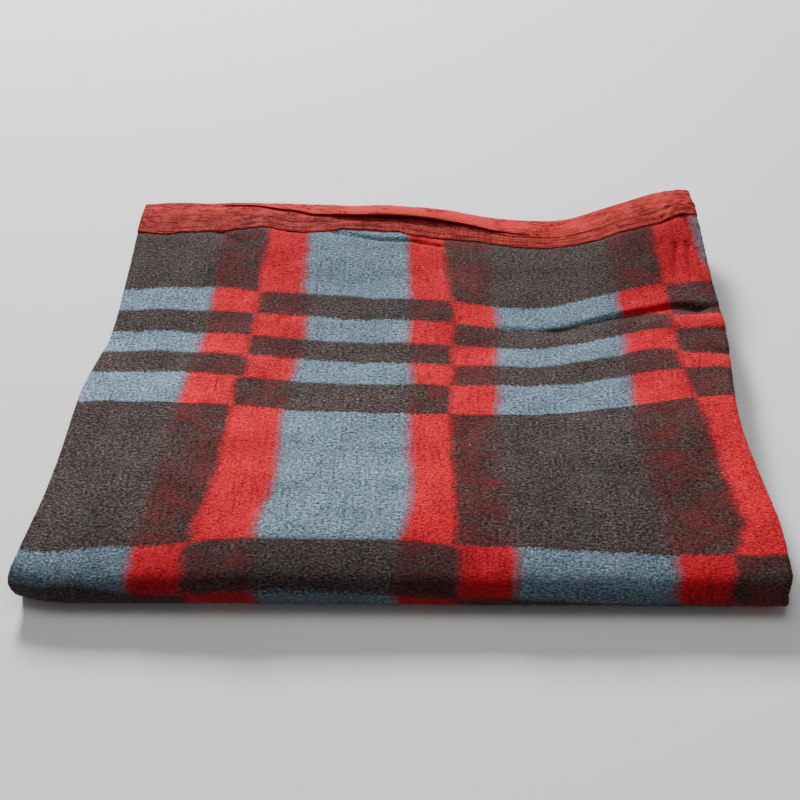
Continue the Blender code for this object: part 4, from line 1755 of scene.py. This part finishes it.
@dataclass
class Nap:
    """The loose brushed fibres that stand a little off the cloth, mostly along its weft."""

    cloth: BlanketCloth
    finish: bpy.types.Material
    count: int = 44000
    seed: int = 11
    length: float = 0.0062
    width: float = 0.00022
    turn_spread: float = 0.55
    tilts: tuple[float, float] = (0.03, 0.26)
    lengths: tuple[float, float] = (0.4, 1.3)
    rooted: float = 0.0002
    lowest_tip: float = 0.0006
    lowest: float = 0.0004

    def build(self) -> bpy.types.Object:
        """Make every fibre as a thin closed spike in one joined mesh.

        Returns:
            The nap.
        """
        rng = np.random.default_rng(self.seed)
        grid = self.cloth.outside
        side = grid[:-1, 1:] - grid[:-1, :-1]
        down = grid[1:, :-1] - grid[:-1, :-1]
        normal = np.cross(down, side)
        area = np.linalg.norm(normal, axis=2)
        weight = (area * self.seen()).ravel()
        cell = rng.choice(len(weight), self.count, p=weight / weight.sum())
        row, column = np.unravel_index(cell, area.shape)
        a, b = rng.random((2, self.count, 1))
        root = grid[row, column] + a * side[row, column] + b * down[row, column]
        maps = {}
        for title, at in self.cloth.maps.items():
            corner = at[row, column]
            maps[title] = corner + a * (at[row, column + 1] - corner) + b * (at[row + 1, column] - corner)
        out = normal[row, column] / area[row, column][:, None]
        points = self.spikes(rng, root, out, side[row, column])
        clear = points[:, :, 2].min(axis=1) > self.lowest
        points = points[clear]
        first = 4 * np.arange(len(points))[:, None]
        spike = np.array([[0, 1, 2], [0, 3, 1], [1, 3, 2], [2, 3, 0]])
        faces = (first[:, :, None] + spike[None]).reshape(-1, 3)
        maps = {title: np.repeat(metres[clear], 4, axis=0) for title, metres in maps.items()}
        piece = mesh_object("brushed_nap", points.reshape(-1, 3), faces, maps)
        piece.data.materials.append(self.finish)
        return piece

    def spikes(
        self, rng: np.random.Generator, root: np.ndarray, out: np.ndarray, side: np.ndarray
    ) -> np.ndarray:
        """Shape every fibre as a spike that leans over the cloth.

        Args:
            rng: What the fibres are drawn with.
            root: Where each fibre is rooted.
            out: The way out of the cloth there.
            side: The way across the cloth there.

        Returns:
            The three points of each spike's foot, and its tip.
        """
        weft = side / np.linalg.norm(side, axis=1)[:, None]
        warp = np.cross(out, weft)
        turn = rng.normal(0.0, self.turn_spread, (self.count, 1))
        turn = turn + math.pi * rng.integers(0, 2, (self.count, 1))
        tilt = rng.uniform(*self.tilts, (self.count, 1))
        flat = np.cos(turn) * weft + np.sin(turn) * warp
        aim = np.cos(tilt) * flat + np.sin(tilt) * out
        reach = self.length * rng.uniform(*self.lengths, (self.count, 1))
        beside = np.cross(out, flat) * self.width / 2
        base = root - self.rooted * out
        tip = root + aim * reach
        tip[:, 2] = np.maximum(tip[:, 2], self.lowest_tip)
        return np.stack([base - beside, base + beside, base + out * self.width * 0.8, tip], 1)

    def seen(self) -> np.ndarray:
        """Find the squares of the cloth's outside that lie in the open.

        Returns:
            Whether each square does.
        """
        path, columns = self.cloth.path, self.cloth.columns
        free = self.cloth.bound()[:-1, :-1] < 0.02
        top = (path.layer >= 2.99) & (path.normal_z > 0.9)
        roll = (path.normal_y < -0.01) & (path.along < 0.75)
        faces_out = (top | roll)[:-1, None] & (columns.lower < 1)[None, :-1]
        fold = (columns.angle > 0.3) & (columns.angle < 2.8)
        edge = columns.share < 0.006
        return (faces_out | (fold | edge)[None, :-1]) & free


@dataclass(frozen=True)
class Studio:
    """The camera at the photograph's place, a pale floor and soft light."""

    camera_place: tuple[float, float, float] = (0.0617, -0.7452, 0.8327)
    pitch: float = 48.77
    yaw: float = -4.91
    roll: float = -4.10
    lens: float = 42.1
    floor_size: float = 8.0
    floor_height: float = -0.0004
    world_strength: float = 0.16

    def camera(self) -> bpy.types.Object:
        """Set the camera where the photograph was taken.

        Returns:
            The camera.
        """
        data = bpy.data.cameras.new("photo_camera")
        data.lens = self.lens
        data.sensor_width = 36.0
        data.clip_start = 0.02
        camera = bpy.data.objects.new("photo_camera", data)
        bpy.context.scene.collection.objects.link(camera)
        pitch, yaw, roll = (math.radians(angle) for angle in (self.pitch, self.yaw, self.roll))
        ahead = Vector((math.sin(yaw) * math.cos(pitch), math.cos(yaw) * math.cos(pitch), -math.sin(pitch)))
        right = Vector((math.cos(yaw), -math.sin(yaw), 0.0))
        up = right.cross(ahead)
        rolled_right = right * math.cos(roll) + up * math.sin(roll)
        rolled_up = up * math.cos(roll) - right * math.sin(roll)
        turn = Matrix((rolled_right, rolled_up, -ahead)).transposed().to_4x4()
        camera.matrix_world = Matrix.Translation(self.camera_place) @ turn
        bpy.context.scene.camera = camera
        return camera

    def floor(self) -> bpy.types.Object:
        """Lay the floor.

        Returns:
            The floor.
        """
        bpy.ops.object.select_all(action="DESELECT")
        bpy.ops.mesh.primitive_plane_add(size=self.floor_size, location=(0.0, 0.0, self.floor_height))
        floor = bpy.context.object
        floor.name = "floor"
        bpy.ops.object.transform_apply(location=True)
        floor.data.materials.append(PaleFloor().material())
        return floor

    def light(
        self, name: str, place: tuple[float, float, float], size: float, power: float
    ) -> bpy.types.Object:
        """Hang a square soft light that looks at the blanket.

        Args:
            name: Its name.
            place: Where it hangs.
            size: The length of its side.
            power: Its power in watts.

        Returns:
            The light.
        """
        data = bpy.data.lights.new(name, "AREA")
        data.size = size
        data.energy = power
        lamp = bpy.data.objects.new(name, data)
        bpy.context.scene.collection.objects.link(lamp)
        lamp.location = place
        lamp.rotation_euler = (-Vector(place)).to_track_quat("-Z", "Y").to_euler()
        return lamp

    def build(self) -> None:
        """Set up everything around the blanket."""
        self.camera()
        self.floor()
        self.light("back_key", place=(-1.20, 3.30, 2.20), size=1.0, power=335.0)
        self.light("top_fill", place=(0.10, 0.12, 1.60), size=0.9, power=9.5)
        world = bpy.data.worlds.new("studio")
        world.use_nodes = True
        background = world.node_tree.nodes["Background"]
        background.inputs["Color"].default_value = (1.0, 1.0, 1.0, 1.0)
        background.inputs["Strength"].default_value = self.world_strength
        bpy.context.scene.world = world


def main() -> None:
    """Build every piece in order and tell the frame what each one is."""
    logging.basicConfig(level=logging.INFO, format="%(message)s")
    Studio().build()
    stack = FoldedStack()
    wool = CheckedWool().material()
    satin = SatinRibbon().material()
    thread = SewingThread().material()

    cloth = BlanketCloth(stack, wool)
    sheet = cloth.build()
    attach(sheet, "root")
    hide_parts("blanket_cloth")
    log.info("cloth: %d faces", len(sheet.data.polygons))

    nap = Nap(cloth, wool).build()
    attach(nap, "root")
    log.info("nap: %d faces", len(nap.data.polygons))

    for ribbon in (
        EndRibbon(stack, "top_ribbon", "top_end_ribbon", 3, Side.UP, True, satin, thread),
        EndRibbon(stack, "lower_ribbon", "lower_end_ribbon", 2, Side.DOWN, False, satin, thread),
    ):
        strip = ribbon.build()
        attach(strip, "root")
        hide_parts(ribbon.node)
        stitches = ribbon.sew()
        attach(stitches, "root")
        log.info("%s: %d faces", ribbon.name, len(strip.data.polygons))
        log.info("its stitching: %d faces", len(stitches.data.polygons))


if __name__ == "__main__":
    main()
